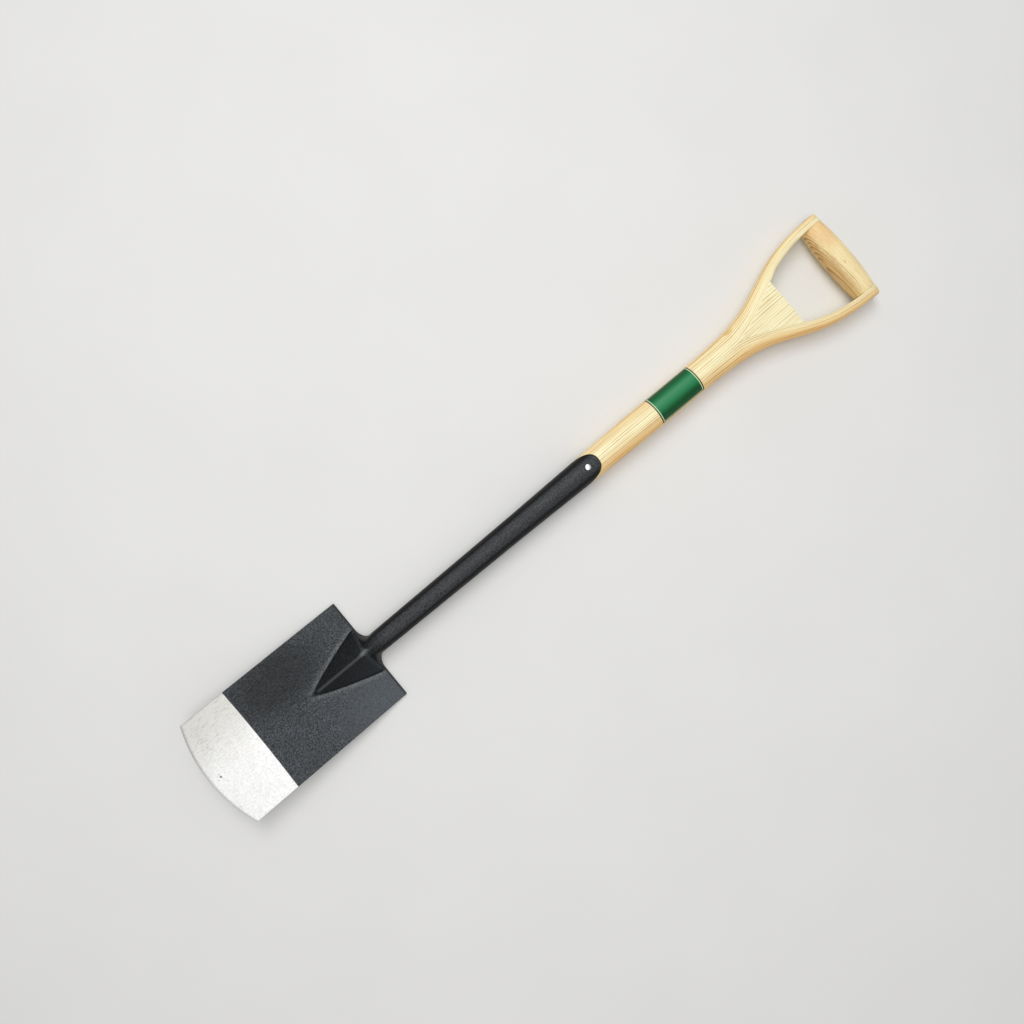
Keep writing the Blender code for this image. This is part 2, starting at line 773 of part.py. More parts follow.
def lay_on_ground():
    """Turns and lifts the whole so that it lies on its heel and on the shaft or the grip."""
    pitch = -math.pi / 2
    for x, radius in ((SPLAY_X, SHAFT_RADIUS), (GRIP_X, GRIP_RADIUS)):
        reach = x - SHOULDER_X
        touching = math.asin(radius / math.hypot(reach, HEEL_DROP)) - math.atan2(HEEL_DROP, reach)
        pitch = max(pitch, touching)
    edge_end = -blade_back(0.0, 0.0) * math.sin(pitch)
    grip_end = GRIP_X * math.cos(pitch) + GRIP_RADIUS
    height = HEEL_DROP * math.cos(pitch) - SHOULDER_X * math.sin(pitch)
    lay.rotation_euler = (0.0, -pitch, 0.0)
    lay.location = (-(edge_end + grip_end) / 2, 0.0, height)


clear_scene()
pieces = new_collection("border_spade")
cutters = new_collection("cutters")
lay = bpy.data.objects.new("laid_on_ground", None)
pieces.objects.link(lay)

black_coat = new_material("black_powder_coat", linear_colour(52, 55, 58), 0.42, 0.0)
ash = new_material("pale_ash", linear_colour(228, 199, 150), 0.5, 0.0)
ash_filler = new_material("ash_filler", linear_colour(233, 206, 158), 0.5, 0.0)
grip_ash = new_material("golden_ash", linear_colour(218, 180, 128), 0.48, 0.0)
bright_steel = new_material("bright_steel", linear_colour(205, 205, 203), 0.35, 1.0)
green_paper = new_material("green_paper", linear_colour(30, 104, 62), 0.5, 0.0)

rivet_hole = make_rivet_hole()
rod_hole = make_rod_hole()
make_head()
make_shaft()
make_wedge()
make_grip()
make_rod()
make_washer("rod_washer_left", 1)
make_washer("rod_washer_right", -1)
make_rivet()
make_label()
lay_on_ground()
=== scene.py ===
# A new border spade, lying face up on a pale floor: black powder coat on a forged head whose
# edge is left bright, an ash shaft split into a D, and a turned crossbar. Sizes are in metres.
#
# Its pieces are made along the shaft, from the cutting edge at X = 0, and are then laid where
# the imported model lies. Two vectors go with every corner of them into the finishes: "place" is
# where it is along the shaft, and "fibre" is where it is in its own straight wood or flat paper.

import json
from math import atan2, copysign, cos, exp, hypot, pi, radians, sin, sqrt, tau

import bmesh
import bpy
import numpy as np
from mathutils import Matrix, Vector
from mathutils.kdtree import KDTree


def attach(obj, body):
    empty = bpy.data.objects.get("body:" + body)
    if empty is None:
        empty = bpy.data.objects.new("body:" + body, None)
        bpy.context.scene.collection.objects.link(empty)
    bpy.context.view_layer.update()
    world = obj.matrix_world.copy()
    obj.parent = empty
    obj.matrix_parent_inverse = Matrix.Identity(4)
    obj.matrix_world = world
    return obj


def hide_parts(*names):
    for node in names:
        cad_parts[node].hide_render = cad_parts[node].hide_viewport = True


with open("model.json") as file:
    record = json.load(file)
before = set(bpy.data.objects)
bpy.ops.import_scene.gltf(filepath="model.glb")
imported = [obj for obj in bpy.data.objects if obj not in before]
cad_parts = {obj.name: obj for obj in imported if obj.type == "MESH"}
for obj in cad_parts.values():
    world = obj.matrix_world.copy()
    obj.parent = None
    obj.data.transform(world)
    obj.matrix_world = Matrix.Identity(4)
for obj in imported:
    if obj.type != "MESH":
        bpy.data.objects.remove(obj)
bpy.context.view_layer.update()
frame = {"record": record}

# Blade
BLADE_LENGTH = 0.236
EDGE_WIDTH = 0.1446
SHOULDER_WIDTH = 0.1424
EDGE_ARC_DEPTH = 0.0145
BLADE_THICKNESS = 0.0032
EDGE_THICKNESS = 0.0012
GROUND_LENGTH = 0.074
BLADE_RISE = 0.034
BLADE_BOW = 0.007
BLADE_DISH = 0.003
DISH_RUN_IN = 0.070
BLADE_CORNER_RADIUS = 0.0012
BLADE_ARRIS = 0.0005
HEEL_DROP = 0.0200

# V-shaped ridge and neck
RIDGE_LENGTH = 0.0855
RIDGE_WIDTH = 0.0630
RIDGE_FULLNESS = 0.80
RIDGE_CORNER = 0.0065
RIDGE_TIP_WIDTH = 0.0020
RIDGE_ROUNDING = 0.10
RIDGE_SWELL = 1.25
RIDGE_SEAT = 0.0004
WEB_THICKNESS = 0.0024
FILLET_LENGTH = 0.0110
FILLET_WIDTH = 0.0170
NECK_FRONT_BLEND = 0.022
NECK_BACK_BLEND = 0.050

# Socket and its tongues
SOCKET_LENGTH = 0.360
NECK_RADIUS = 0.01325
KNEE_FROM_SHOULDER = 0.236
KNEE_RADIUS = 0.01535
MOUTH_RADIUS = 0.0176
SOCKET_WALL = 0.0018
BORE_DEPTH = 0.300
TONGUE_LENGTH = 0.028
TONGUE_BLUNTNESS = 2.6
NOTCH_ROUNDING = 0.12
RIM_ARRIS = 0.0005
RIVET_FROM_TONGUE_TIP = 0.0160

# Shaft and fork
SHAFT_RADIUS = 0.0186
SWELL_LENGTH = 0.072
PLAIN_SHAFT = 0.169
SHAFT_END_GAP = 0.004
SPLAY_LENGTH = 0.2190
SPLAY_STEEPNESS = 8.1
SPLAY_CENTRE = 0.545
SPLIT_FROM_SPLAY = 0.050
CROTCH_FROM_SPLAY = 0.1305
ARM_AT_CROTCH = 0.0142
ARM_AT_GRIP = 0.0128
ARM_DEPTH = 0.0290
FORK_CROWN = 0.12
ARM_SQUARENESS = 2.8
ARM_END_TURN = radians(84.0)
ARM_END_CROWDING = 1.5
ARM_END_CORNER = 0.0045
ARM_INNER_ROUND = 0.0040
SEAT_INNER_ROUND = 0.0010
INNER_ROUND_RUN = 0.020

# Crossbar, rod, washers and rivet
GRIP_LENGTH = 0.1014
GRIP_RADIUS = 0.0170
GRIP_END_RADIUS = 0.0140
GRIP_EDGE = 0.0009
GRIP_GRAIN_SLOPE = 0.08
ROD_RADIUS = 0.0025
ROD_HEAD_RADIUS = 0.0045
ROD_HEAD_HEIGHT = 0.0014
WASHER_RADIUS = 0.0065
WASHER_THICKNESS = 0.0012
WASHER_RECESS = 0.0020
WASHER_EDGE = 0.0003
RIVET_RADIUS = 0.0028
RIVET_HEAD_RADIUS = 0.0036
RIVET_DOME = 0.0006

# Label
LABEL_START = 0.090
LABEL_LENGTH = 0.065
LABEL_LEFT = radians(74.0)
LABEL_RIGHT = radians(66.0)
LABEL_THICKNESS = 0.0002
LABEL_RULE_INSET = 0.0020
LABEL_RULE_WIDTH = 0.0008
# How far round from the top the label's painted highlight runs
LABEL_SHEEN_LINE = 0.003

# Pieces that touch keep this much air, and the glued and driven ones less
FIT = 0.0003
SNUG = 0.0001
GLUE = 0.00003

# How finely the forms are divided
SIDES = 112
HALF_SIDES = SIDES // 2
SMALL_SIDES = 48
BLADE_COLUMNS = 56
GROUND_ROWS = 20
BLADE_ROWS = 48
RIDGE_ROWS = 30
CORNER_ROWS = 8
FILLET_ROWS = 12
NECK_ROWS = 18
SOCKET_ROWS = 16
MOUTH_ROWS = 14
RIM_ROWS = 3
FORK_ROWS = 26
ARM_INSIDE_ROWS = 8
ARM_END_ROWS = 14
WEDGE_COLUMNS = 20
GRIP_ROWS = 28
ROUND_ROWS = 6
ARRIS_ROWS = 2
LABEL_ROWS = 40
LABEL_COLUMNS = 36
SHARP_ANGLE = radians(38.0)
ARRIS_ANGLE = radians(50.0)
ARRIS_REACH = 0.0025
WELD = 0.0000001
MERGE = 0.00001

# Places along the shaft
SHOULDER_X = BLADE_LENGTH
RIDGE_TIP_X = SHOULDER_X - RIDGE_LENGTH
FLANK_END_X = SHOULDER_X - RIDGE_CORNER
FILLET_END_X = SHOULDER_X + FILLET_LENGTH
KNEE_X = SHOULDER_X + KNEE_FROM_SHOULDER
TONGUE_TIP_X = SHOULDER_X + SOCKET_LENGTH
NOTCH_X = TONGUE_TIP_X - TONGUE_LENGTH
MOUTH_START_X = NOTCH_X - TONGUE_LENGTH
RIVET_X = TONGUE_TIP_X - RIVET_FROM_TONGUE_TIP
BORE_END_X = TONGUE_TIP_X - BORE_DEPTH
SHAFT_END_X = BORE_END_X + SHAFT_END_GAP
SPLAY_X = TONGUE_TIP_X + PLAIN_SHAFT
SPLIT_X = SPLAY_X + SPLIT_FROM_SPLAY
CROTCH_X = SPLAY_X + CROTCH_FROM_SPLAY
GRIP_X = SPLAY_X + SPLAY_LENGTH
SEAT_X = GRIP_X - GRIP_END_RADIUS
ARM_END_RADIUS = ARM_DEPTH / 2
SEAT_Y = GRIP_LENGTH / 2 + FIT
FORK_HALF = SEAT_Y + ARM_AT_GRIP

# Angles round a whole section, and round the left half of one from its front to its back
SIDE_ANGLES = [tau * i / SIDES for i in range(SIDES)]
HALF_ANGLES = [pi * (0.5 - i / HALF_SIDES) for i in range(HALF_SIDES + 1)]

# How a turned piece lies: its Z runs through both arms, or through both tongues
ACROSS_THE_ARMS = Matrix.Translation((GRIP_X, 0.0, 0.0)) @ Matrix.Rotation(-pi / 2, 4, "X")
THROUGH_THE_TONGUES = Matrix.Translation((RIVET_X, 0.0, 0.0))


def mix(start, end, share):
    return start + (end - start) * share


def ease(share):
    share = min(max(share, 0.0), 1.0)
    return share * share * (3.0 - 2.0 * share)


def steps(start, end, count):
    return [mix(start, end, i / count) for i in range(count + 1)]


def quarter_turn(count):
    return steps(0.0, pi / 2, count)


def polar(x, radius, angle):
    """The point at an angle round the shaft's centre line."""
    return Vector((x, radius * cos(angle), radius * sin(angle)))


def linear(red, green, blue):
    """A colour read off a paint card, 0 to 255, as the shader wants it."""
    def channel(value):
        value /= 255.0
        return value / 12.92 if value <= 0.04045 else ((value + 0.055) / 1.055) ** 2.4

    return (channel(red), channel(green), channel(blue), 1.0)


# Making and finishing a piece

def lay_of_the_spade():
    """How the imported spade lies, read from its yoke: the sawn end between the arms."""
    yoke = next(m for m in frame["record"]["mounts"] if m["name"] == "yoke_seat")
    along = Vector(yoke["axis"])
    origin = Vector(yoke["pos_m"]) - along * CROTCH_X
    pitch = atan2(-along.z, along.x)
    return Matrix.Translation(origin) @ Matrix.Rotation(pitch, 4, "Y")


LAY = lay_of_the_spade()


def new_object(name, data):
    made = bpy.data.objects.new(name, data)
    bpy.context.scene.collection.objects.link(made)
    return made


def object_from(bm, name):
    mesh = bpy.data.meshes.new(name)
    bm.to_mesh(mesh)
    bm.free()
    return new_object(name, mesh)


def welded_shape(bm, name):
    bmesh.ops.remove_doubles(bm, verts=bm.verts, dist=WELD)
    bmesh.ops.recalc_face_normals(bm, faces=bm.faces)
    return object_from(bm, name)


def raised(rows, height):
    """Rows of points over rows of (x, y), each at its own height."""
    return [[Vector((x, y, height(x, y))) for x, y in row] for row in rows]


def add_corners(bm, rows):
    return [[bm.verts.new(point) for point in row] for row in rows]


def add_strip(bm, one, two, closed=False):
    count = len(one)
    for i in range(count if closed else count - 1):
        j = (i + 1) % count
        bm.faces.new([one[i], one[j], two[j], two[i]])


def add_skin(bm, rows, closed=False):
    for one, two in zip(rows, rows[1:]):
        add_strip(bm, one, two, closed)


def loft(name, rings):
    """A closed skin over rings that all have the same number of points."""
    bm = bmesh.new()
    rows = add_corners(bm, rings)
    add_skin(bm, rows, closed=True)
    bm.faces.new(rows[0])
    bm.faces.new(rows[-1])
    return welded_shape(bm, name)


def slab(name, front, back):
    """A closed sheet between two surfaces, each given as rows of points."""
    bm = bmesh.new()
    front = add_corners(bm, front)
    back = add_corners(bm, back)
    add_skin(bm, front)
    add_skin(bm, back)
    for end in (0, -1):
        add_strip(bm, front[end], back[end])
    for side in (0, -1):
        add_strip(bm, [row[side] for row in front], [row[side] for row in back])
    return welded_shape(bm, name)


def mirrored(profile):
    """The lower half of a turned profile, which is its upper half upside down."""
    return [(radius, -height) for radius, height in reversed(profile)]


def turned(name, profile, sides, lay):
    """A profile of (radius, height) points, turned about Z. It closes on itself if it starts off Z."""
    bm = bmesh.new()
    corners = [bm.verts.new((radius, 0.0, height)) for radius, height in profile]
    for one, two in zip(corners, corners[1:]):
        bm.edges.new((one, two))
    if profile[0][0] > 0.0:
        bm.edges.new((corners[-1], corners[0]))
    shape = object_from(bm, name)
    shape.matrix_world = lay
    screw = shape.modifiers.new("lathe", "SCREW")
    screw.steps = sides
    screw.render_steps = sides
    screw.use_merge_vertices = True
    screw.merge_threshold = MERGE
    return shape


def stepped_hole(name, seat, below, beyond, lay):
    """A cutter that is wide down to its seat and narrow below it, each given as (radius, height)."""
    profile = [(0.0, beyond), (seat[0], beyond), seat, below]
    return turned(name, profile + mirrored(profile), SMALL_SIDES, lay)


def combine(shape, other, operation):
    step = shape.modifiers.new(operation.lower(), "BOOLEAN")
    step.operation = operation
    step.solver = "EXACT"
    step.object = other


def round_over(shape, width, rows, limit="ANGLE"):
    bevel = shape.modifiers.new("round over", "BEVEL")
    bevel.limit_method = limit
    bevel.angle_limit = ARRIS_ANGLE
    bevel.width = width
    bevel.segments = rows


def finished_mesh(shape, tools):
    """The shape with all its steps taken, as a plain mesh in the spade's own frame."""
    bpy.context.view_layer.update()
    graph = bpy.context.evaluated_depsgraph_get()
    mesh = bpy.data.meshes.new_from_object(shape.evaluated_get(graph))
    mesh.transform(shape.matrix_world)
    for thing in (shape, *tools):
        bpy.data.objects.remove(thing, do_unlink=True)
    return mesh


def corners_of(mesh):
    flat = np.zeros(len(mesh.vertices) * 3, np.float32)
    mesh.vertices.foreach_get("co", flat)
    return flat.reshape(-1, 3)


def write_vectors(mesh, name, values):
    layer = mesh.attributes.new(name, "FLOAT_VECTOR", "POINT")
    layer.data.foreach_set("vector", np.asarray(values, np.float32).ravel())


def write_arrises(mesh):
    """Marks each corner by how near it is to a sharp arris: 1 on it, 0 a reach away."""
    bm = bmesh.new()
    bm.from_mesh(mesh)
    sharp = [e for e in bm.edges if e.is_manifold and e.calc_face_angle() > SHARP_ANGLE / 2]
    tree = KDTree(max(len(sharp), 1))
    for i, edge in enumerate(sharp):
        tree.insert((edge.verts[0].co + edge.verts[1].co) / 2, i)
    tree.balance()
    near = [0.0] * len(bm.verts)
    if sharp:
        for vert in bm.verts:
            near[vert.index] = max(0.0, 1.0 - tree.find(vert.co)[2] / ARRIS_REACH)
    bm.free()
    layer = mesh.attributes.new("arris", "FLOAT", "POINT")
    layer.data.foreach_set("value", near)


def set_down(shape, name, finish, replaced, fibre=None, tools=()):
    """Makes a shape one of the spade's pieces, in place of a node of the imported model."""
    mesh = finished_mesh(shape, tools)
    mesh.name = name
    mesh.shade_smooth()
    mesh.set_sharp_from_angle(angle=SHARP_ANGLE)
    mesh.materials.clear()
    mesh.materials.append(finish)
    places = corners_of(mesh)
    write_vectors(mesh, "place", places)
    write_vectors(mesh, "fibre", places if fibre is None else [fibre(*p) for p in places])
    write_arrises(mesh)
    piece = new_object(name, mesh)
    piece.matrix_world = LAY
    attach(piece, "root")
    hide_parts(replaced)


# The blade

def edge_x(y):
    half = EDGE_WIDTH / 2
    radius = (half * half + EDGE_ARC_DEPTH ** 2) / (2 * EDGE_ARC_DEPTH)
    return radius - sqrt(radius * radius - y * y)


def blade_half_width(x):
    from_corner = max(x - EDGE_ARC_DEPTH, 0.0) / (BLADE_LENGTH - EDGE_ARC_DEPTH)
    return mix(EDGE_WIDTH, SHOULDER_WIDTH, from_corner) / 2


def blade_back(x, y):
    to_heel = SHOULDER_X - x
    share = to_heel / BLADE_LENGTH
    rise = (BLADE_RISE - BLADE_BOW) * share + BLADE_BOW * share * share
    dish = BLADE_DISH * (y / blade_half_width(x)) ** 2 * ease(to_heel / DISH_RUN_IN)
    return rise + dish - HEEL_DROP


def blade_front(x, y):
    from_edge = (x - edge_x(y)) / (GROUND_LENGTH - edge_x(y))
    return blade_back(x, y) + mix(EDGE_THICKNESS, BLADE_THICKNESS, min(from_edge, 1.0))


def blade_rows():
    """Rows of (x, y) across the blade, which turn from the arc of the edge to straight lines."""
    rows = []
    for share in steps(0.0, 1.0, GROUND_ROWS):
        half = blade_half_width(mix(EDGE_ARC_DEPTH, GROUND_LENGTH, share))
        across = steps(-half, half, BLADE_COLUMNS)
        rows.append([(mix(edge_x(y), GROUND_LENGTH, share), y) for y in across])
    for x in steps(GROUND_LENGTH, SHOULDER_X, BLADE_ROWS)[1:]:
        half = blade_half_width(x)
        rows.append([(x, y) for y in steps(-half, half, BLADE_COLUMNS)])
    return rows


def make_blade():
    rows = blade_rows()
    blade = slab("blade", raised(rows, blade_front), raised(rows, blade_back))
    weights = blade.data.attributes.new("bevel_weight_edge", "FLOAT", "EDGE")
    for edge in blade.data.edges:
        one, two = (blade.data.vertices[i].co for i in edge.vertices)
        upright = hypot(one.x - two.x, one.y - two.y) < FIT
        outer = abs(abs(one.y) - blade_half_width(one.x)) < FIT
        at_end = one.x < EDGE_ARC_DEPTH + FIT or one.x > SHOULDER_X - FIT
        weights.data[edge.index].value = 1.0 if upright and outer and at_end else 0.0
    round_over(blade, BLADE_CORNER_RADIUS, ROUND_ROWS, "WEIGHT")
    round_over(blade, BLADE_ARRIS, ARRIS_ROWS)
    return blade


# The ridge, neck and socket

def socket_radius(x):
    if x < KNEE_X:
        share = (x - FILLET_END_X) / (KNEE_X - FILLET_END_X)
        return mix(NECK_RADIUS, KNEE_RADIUS, max(share, 0.0))
    share = (x - KNEE_X) / (TONGUE_TIP_X - KNEE_X)
    return mix(KNEE_RADIUS, MOUTH_RADIUS, share)


def rim_x(angle):
    """How far the mouth reaches at an angle round the socket: furthest at front and back."""
    plain_reach = (1.0 - abs(cos(angle)) ** TONGUE_BLUNTNESS) ** (1.0 / TONGUE_BLUNTNESS)
    reach = hypot(plain_reach, NOTCH_ROUNDING) - NOTCH_ROUNDING
    full = hypot(1.0, NOTCH_ROUNDING) - NOTCH_ROUNDING
    return NOTCH_X + TONGUE_LENGTH * reach / full


def web_back(x):
    return blade_back(min(x, SHOULDER_X), 0.0) + RIDGE_SEAT


def web_front(x):
    return web_back(x) + WEB_THICKNESS


def ridge_foot(x):
    """Half the width of the ridge, whose two edges swell a little on their way from its tip."""
    share = (x - RIDGE_TIP_X) / (FLANK_END_X - RIDGE_TIP_X)
    return mix(RIDGE_TIP_WIDTH, RIDGE_WIDTH, share ** RIDGE_FULLNESS) / 2


def ridge_top(x):
    share = (x - RIDGE_TIP_X) / (FILLET_END_X - RIDGE_TIP_X)
    climbed = 1.0 - max(1.0 - share, 0.0) ** RIDGE_SWELL
    return mix(web_front(RIDGE_TIP_X), NECK_RADIUS, climbed)


def peak(across):
    """Height of the ridge's section: 1 on the centre line, 0 at its foot, rounded on top."""
    run = hypot(across, RIDGE_ROUNDING) - RIDGE_ROUNDING
    full = hypot(1.0, RIDGE_ROUNDING) - RIDGE_ROUNDING
    return 1.0 - run / full


def neck_plan():
    """Places along the neck, each with the half width of the forging there."""
    shoulder_half = NECK_RADIUS + FILLET_WIDTH
    plan = [(x, ridge_foot(x)) for x in steps(RIDGE_TIP_X, FLANK_END_X, RIDGE_ROWS)]
    for angle in quarter_turn(CORNER_ROWS)[1:]:
        x = FLANK_END_X + RIDGE_CORNER * sin(angle)
        plan.append((x, mix(shoulder_half, RIDGE_WIDTH / 2, cos(angle))))
    for angle in quarter_turn(FILLET_ROWS)[1:]:
        x = SHOULDER_X + FILLET_LENGTH * (1.0 - cos(angle))
        plan.append((x, NECK_RADIUS + FILLET_WIDTH * (1.0 - sin(angle))))
    for x in steps(FILLET_END_X, SHOULDER_X + NECK_BACK_BLEND, NECK_ROWS)[1:]:
        plan.append((x, socket_radius(x)))
    return plan


def flank_top(x, y, half_width):
    """Height of the ridge's flank, which rounds down to the web where the forging ends."""
    above = (ridge_top(x) - web_front(x)) * peak(abs(y) / ridge_foot(x))
    inside = half_width - abs(y)
    if x < SHOULDER_X:
        beside = max(NECK_RADIUS + FILLET_WIDTH - abs(y), 0.0)
        inside = hypot(SHOULDER_X - x, beside)
    inside = min(inside / RIDGE_CORNER, 1.0)
    return web_front(x) + above * sqrt(inside * (2.0 - inside))


def neck_ring(x, half_width):
    """One section of the forging, between a ridge on a flat web and a round neck."""
    front = 1.0 - ease((x - SHOULDER_X) / NECK_FRONT_BLEND)
    back = 1.0 - ease((x - SHOULDER_X) / NECK_BACK_BLEND)
    ring = []
    for i, angle in enumerate(SIDE_ANGLES):
        y = half_width * cos(angle)
        height = socket_radius(x) * sin(angle)
        if i % HALF_SIDES == 0:
            middle = (web_back(x) + web_front(x)) / 2
            height = mix(0.0, middle, (front + back) / 2)
        elif i < HALF_SIDES:
            height = mix(height, flank_top(x, y, half_width), front)
        else:
            height = mix(height, web_back(x), back)
        ring.append(Vector((x, y, height)))
    return ring


def plain_ring(x, inward=0.0):
    return [polar(x, socket_radius(x) - inward, angle) for angle in SIDE_ANGLES]


def mouth_ring(share, inward, past_rim=0.0):
    """A ring of the socket between a plain section and the shaped rim of its mouth."""
    ring = []
    for angle in SIDE_ANGLES:
        x = mix(MOUTH_START_X, rim_x(angle) + past_rim, share)
        ring.append(polar(x, socket_radius(x) - inward, angle))
    return ring


def make_head():
    rings = [neck_ring(*section) for section in neck_plan()]
    plain = steps(SHOULDER_X + NECK_BACK_BLEND, KNEE_X, SOCKET_ROWS)[1:]
    plain += steps(KNEE_X, MOUTH_START_X, SOCKET_ROWS // 2)[1:-1]
    rings += [plain_ring(x) for x in plain]
    rings += [mouth_ring(share, 0.0, -RIM_ARRIS) for share in steps(0.0, 1.0, MOUTH_ROWS)[:-1]]
    for turn in quarter_turn(RIM_ROWS):
        past_rim = RIM_ARRIS * (sin(turn) - 1.0)
        rings.append(mouth_ring(1.0, RIM_ARRIS * (1.0 - cos(turn)), past_rim))
    rings += [mouth_ring(share, SOCKET_WALL) for share in steps(1.0, 0.0, MOUTH_ROWS)]
    rings += [plain_ring(x, SOCKET_WALL) for x in (KNEE_X, BORE_END_X)]
    head = loft("head", rings)
    blade = make_blade()
    hole = rivet_hole()
    combine(head, blade, "UNION")
    combine(head, hole, "DIFFERENCE")
    set_down(head, "forged_head", head_finish(), "spade_head", tools=[blade, hole])


# The shaft and its fork

def splay(x):
    """How far the fork has spread: 0 on the plain shaft, 1 at the crossbar."""
    def curve(share):
        return 1.0 / (1.0 + exp(-SPLAY_STEEPNESS * (share - SPLAY_CENTRE)))

    share = min(max((x - SPLAY_X) / SPLAY_LENGTH, 0.0), 1.0)
    return (curve(share) - curve(0.0)) / (curve(1.0) - curve(0.0))


def shaft_radius(x):
    """The wood is flush with the socket at its mouth, and swells a little beyond it."""
    if x < TONGUE_TIP_X:
        return socket_radius(x)
    return mix(MOUTH_RADIUS, SHAFT_RADIUS, ease((x - TONGUE_TIP_X) / SWELL_LENGTH))


def end_corner(x):
    """How much the outer corner at the end of an arm is rounded off."""
    into = max(x - GRIP_X - ARM_END_RADIUS + ARM_END_CORNER, 0.0)
    return ARM_END_CORNER - sqrt(ARM_END_CORNER ** 2 - into ** 2)


def fork_outer(x):
    if x < SPLAY_X:
        return shaft_radius(x)
    return mix(SHAFT_RADIUS, FORK_HALF, splay(x)) - end_corner(x)


def fork_inner(x):
    """Half the gap between the arms, which the wedge fills as far as the crotch."""
    if x <= SPLIT_X:
        return 0.0
    if x >= SEAT_X:
        return SEAT_Y
    if x < CROTCH_X:
        arm = mix(fork_outer(SPLIT_X), ARM_AT_CROTCH, (x - SPLIT_X) / (CROTCH_X - SPLIT_X))
    else:
        arm_at_seat = fork_outer(SEAT_X) - SEAT_Y
        arm = mix(ARM_AT_CROTCH, arm_at_seat, (x - CROTCH_X) / (SEAT_X - CROTCH_X))
    return fork_outer(x) - arm


def fork_share(x):
    return ease((x - SPLAY_X) / (CROTCH_X - SPLAY_X))


def fork_height(x, y):
    """Half the depth of the fork, crowned across it, and rounded off at the ends of the arms."""
    half = mix(shaft_radius(min(x, SPLAY_X)), ARM_DEPTH / 2, fork_share(x))
    crown = FORK_CROWN * fork_share(x) * (y / fork_outer(x)) ** 2
    past_grip = max(x - GRIP_X, 0.0) / ARM_END_RADIUS
    return half * (1.0 - crown) * sqrt(1.0 - past_grip * past_grip)


def inner_round(x):
    """Radius of an arm's inner edges: none along the wedge, small where the grip seats."""
    grow = ease((x - CROTCH_X) / INNER_ROUND_RUN)
    shrink = ease((x - SEAT_X + INNER_ROUND_RUN) / INNER_ROUND_RUN)
    return grow * mix(ARM_INNER_ROUND, SEAT_INNER_ROUND, shrink)


def outer_row(x):
    """Points round the outside of the left half, from its front edge to its back edge."""
    power = 2.0 / mix(2.0, ARM_SQUARENESS, fork_share(x))
    inner = fork_inner(x) + inner_round(x)
    outer = fork_outer(x)
    row = []
    for i, angle in enumerate(HALF_ANGLES):
        y = inner + (outer - inner) * max(cos(angle), 0.0) ** power
        if i in (0, HALF_SIDES):
            y = inner
        height = fork_height(x, y) * abs(sin(angle)) ** power
        row.append(Vector((x, y, copysign(height, angle))))
    return row


def inner_row(x):
    """Points down the inner side of the left arm, between the two ends of its outer row."""
    inner = fork_inner(x)
    radius = inner_round(x)
    top = fork_height(x, inner + radius)
    upper = []
    for turn in quarter_turn(ROUND_ROWS)[1:]:
        drop = radius * (1.0 - cos(turn))
        upper.append(Vector((x, inner + radius * (1.0 - sin(turn)), top - drop)))
    shares = steps(1.0, -1.0, ARM_INSIDE_ROWS)[1:-1]
    middle = [Vector((x, inner, upper[-1].z * share)) for share in shares]
    lower = [Vector((x, point.y, -point.z)) for point in reversed(upper)]
    return upper + middle + lower


def step_row(share, start_x, inward, past_rim):
    """A row of the shaft that follows the shaped rim of the socket."""
    row = []
    for angle in HALF_ANGLES:
        x = mix(start_x, rim_x(angle) + past_rim, share)
        row.append(polar(x, shaft_radius(x) - inward, angle))
    row[0].y = 0.0
    row[-1].y = 0.0
    return row


def shaft_rows():
    """The outside of the left half of the shaft, from its lower end to the split."""
    inward = SOCKET_WALL + FIT
    past_tongue = TONGUE_TIP_X + TONGUE_LENGTH / 2
    rows = [step_row(0.0, x, inward, 0.0) for x in (SHAFT_END_X, KNEE_X)]
    for share in steps(0.0, 1.0, MOUTH_ROWS // 2):
        rows.append(step_row(share, MOUTH_START_X, inward, SNUG))
    for share in steps(1.0, 0.0, MOUTH_ROWS):
        rows.append(step_row(share, past_tongue, 0.0, SNUG))
    plain = steps(past_tongue, SPLAY_X, SOCKET_ROWS)[1:-1]
    plain += steps(SPLAY_X, SPLIT_X, SOCKET_ROWS // 2)
    return rows + [outer_row(x) for x in plain]


def arm_places():
    """Places along an arm, from the split to its rounded end, where they crowd together."""
    places = steps(SPLIT_X, CROTCH_X, FORK_ROWS)[1:] + steps(CROTCH_X, SEAT_X, FORK_ROWS)[1:]
    for left in steps(1.0, 0.0, ARM_END_ROWS):
        turn = ARM_END_TURN * (1.0 - left ** ARM_END_CROWDING)
        places.append(GRIP_X + ARM_END_RADIUS * sin(turn))
    return places


def shaft_fibre(x, y, z):
    """Where a point of the fork was in the straight wood, before it was split and spread."""
    if x <= SPLAY_X:
        return x, y, z
    inner = fork_inner(x)
    outer = fork_outer(x)
    unbent = SHAFT_RADIUS * (abs(y) - inner) / (outer - inner)
    return x, copysign(unbent, y), z


def make_shaft():
    bm = bmesh.new()
    places = arm_places()
    outside = add_corners(bm, shaft_rows() + [outer_row(x) for x in places])
    inside = add_corners(bm, [inner_row(x) for x in [SPLIT_X] + places])
    beside = outside[len(outside) - len(inside):]
    inside = [[outer[0]] + row + [outer[-1]] for outer, row in zip(beside, inside)]
    add_skin(bm, outside)
    add_skin(bm, inside)
    bm.faces.new(outside[0])
    bm.faces.new(outside[-1] + inside[-1][-2:0:-1])
    shaft = welded_shape(bm, "shaft")
    mirror = shaft.modifiers.new("other half", "MIRROR")
    mirror.use_axis = (False, True, False)
    mirror.merge_threshold = MERGE
    tools = [rod_hole(), rivet_hole()]
    for tool in tools:
        combine(shaft, tool, "DIFFERENCE")
    set_down(shaft, "ash_pole", shaft_finish(), "ash_shaft", shaft_fibre, tools)


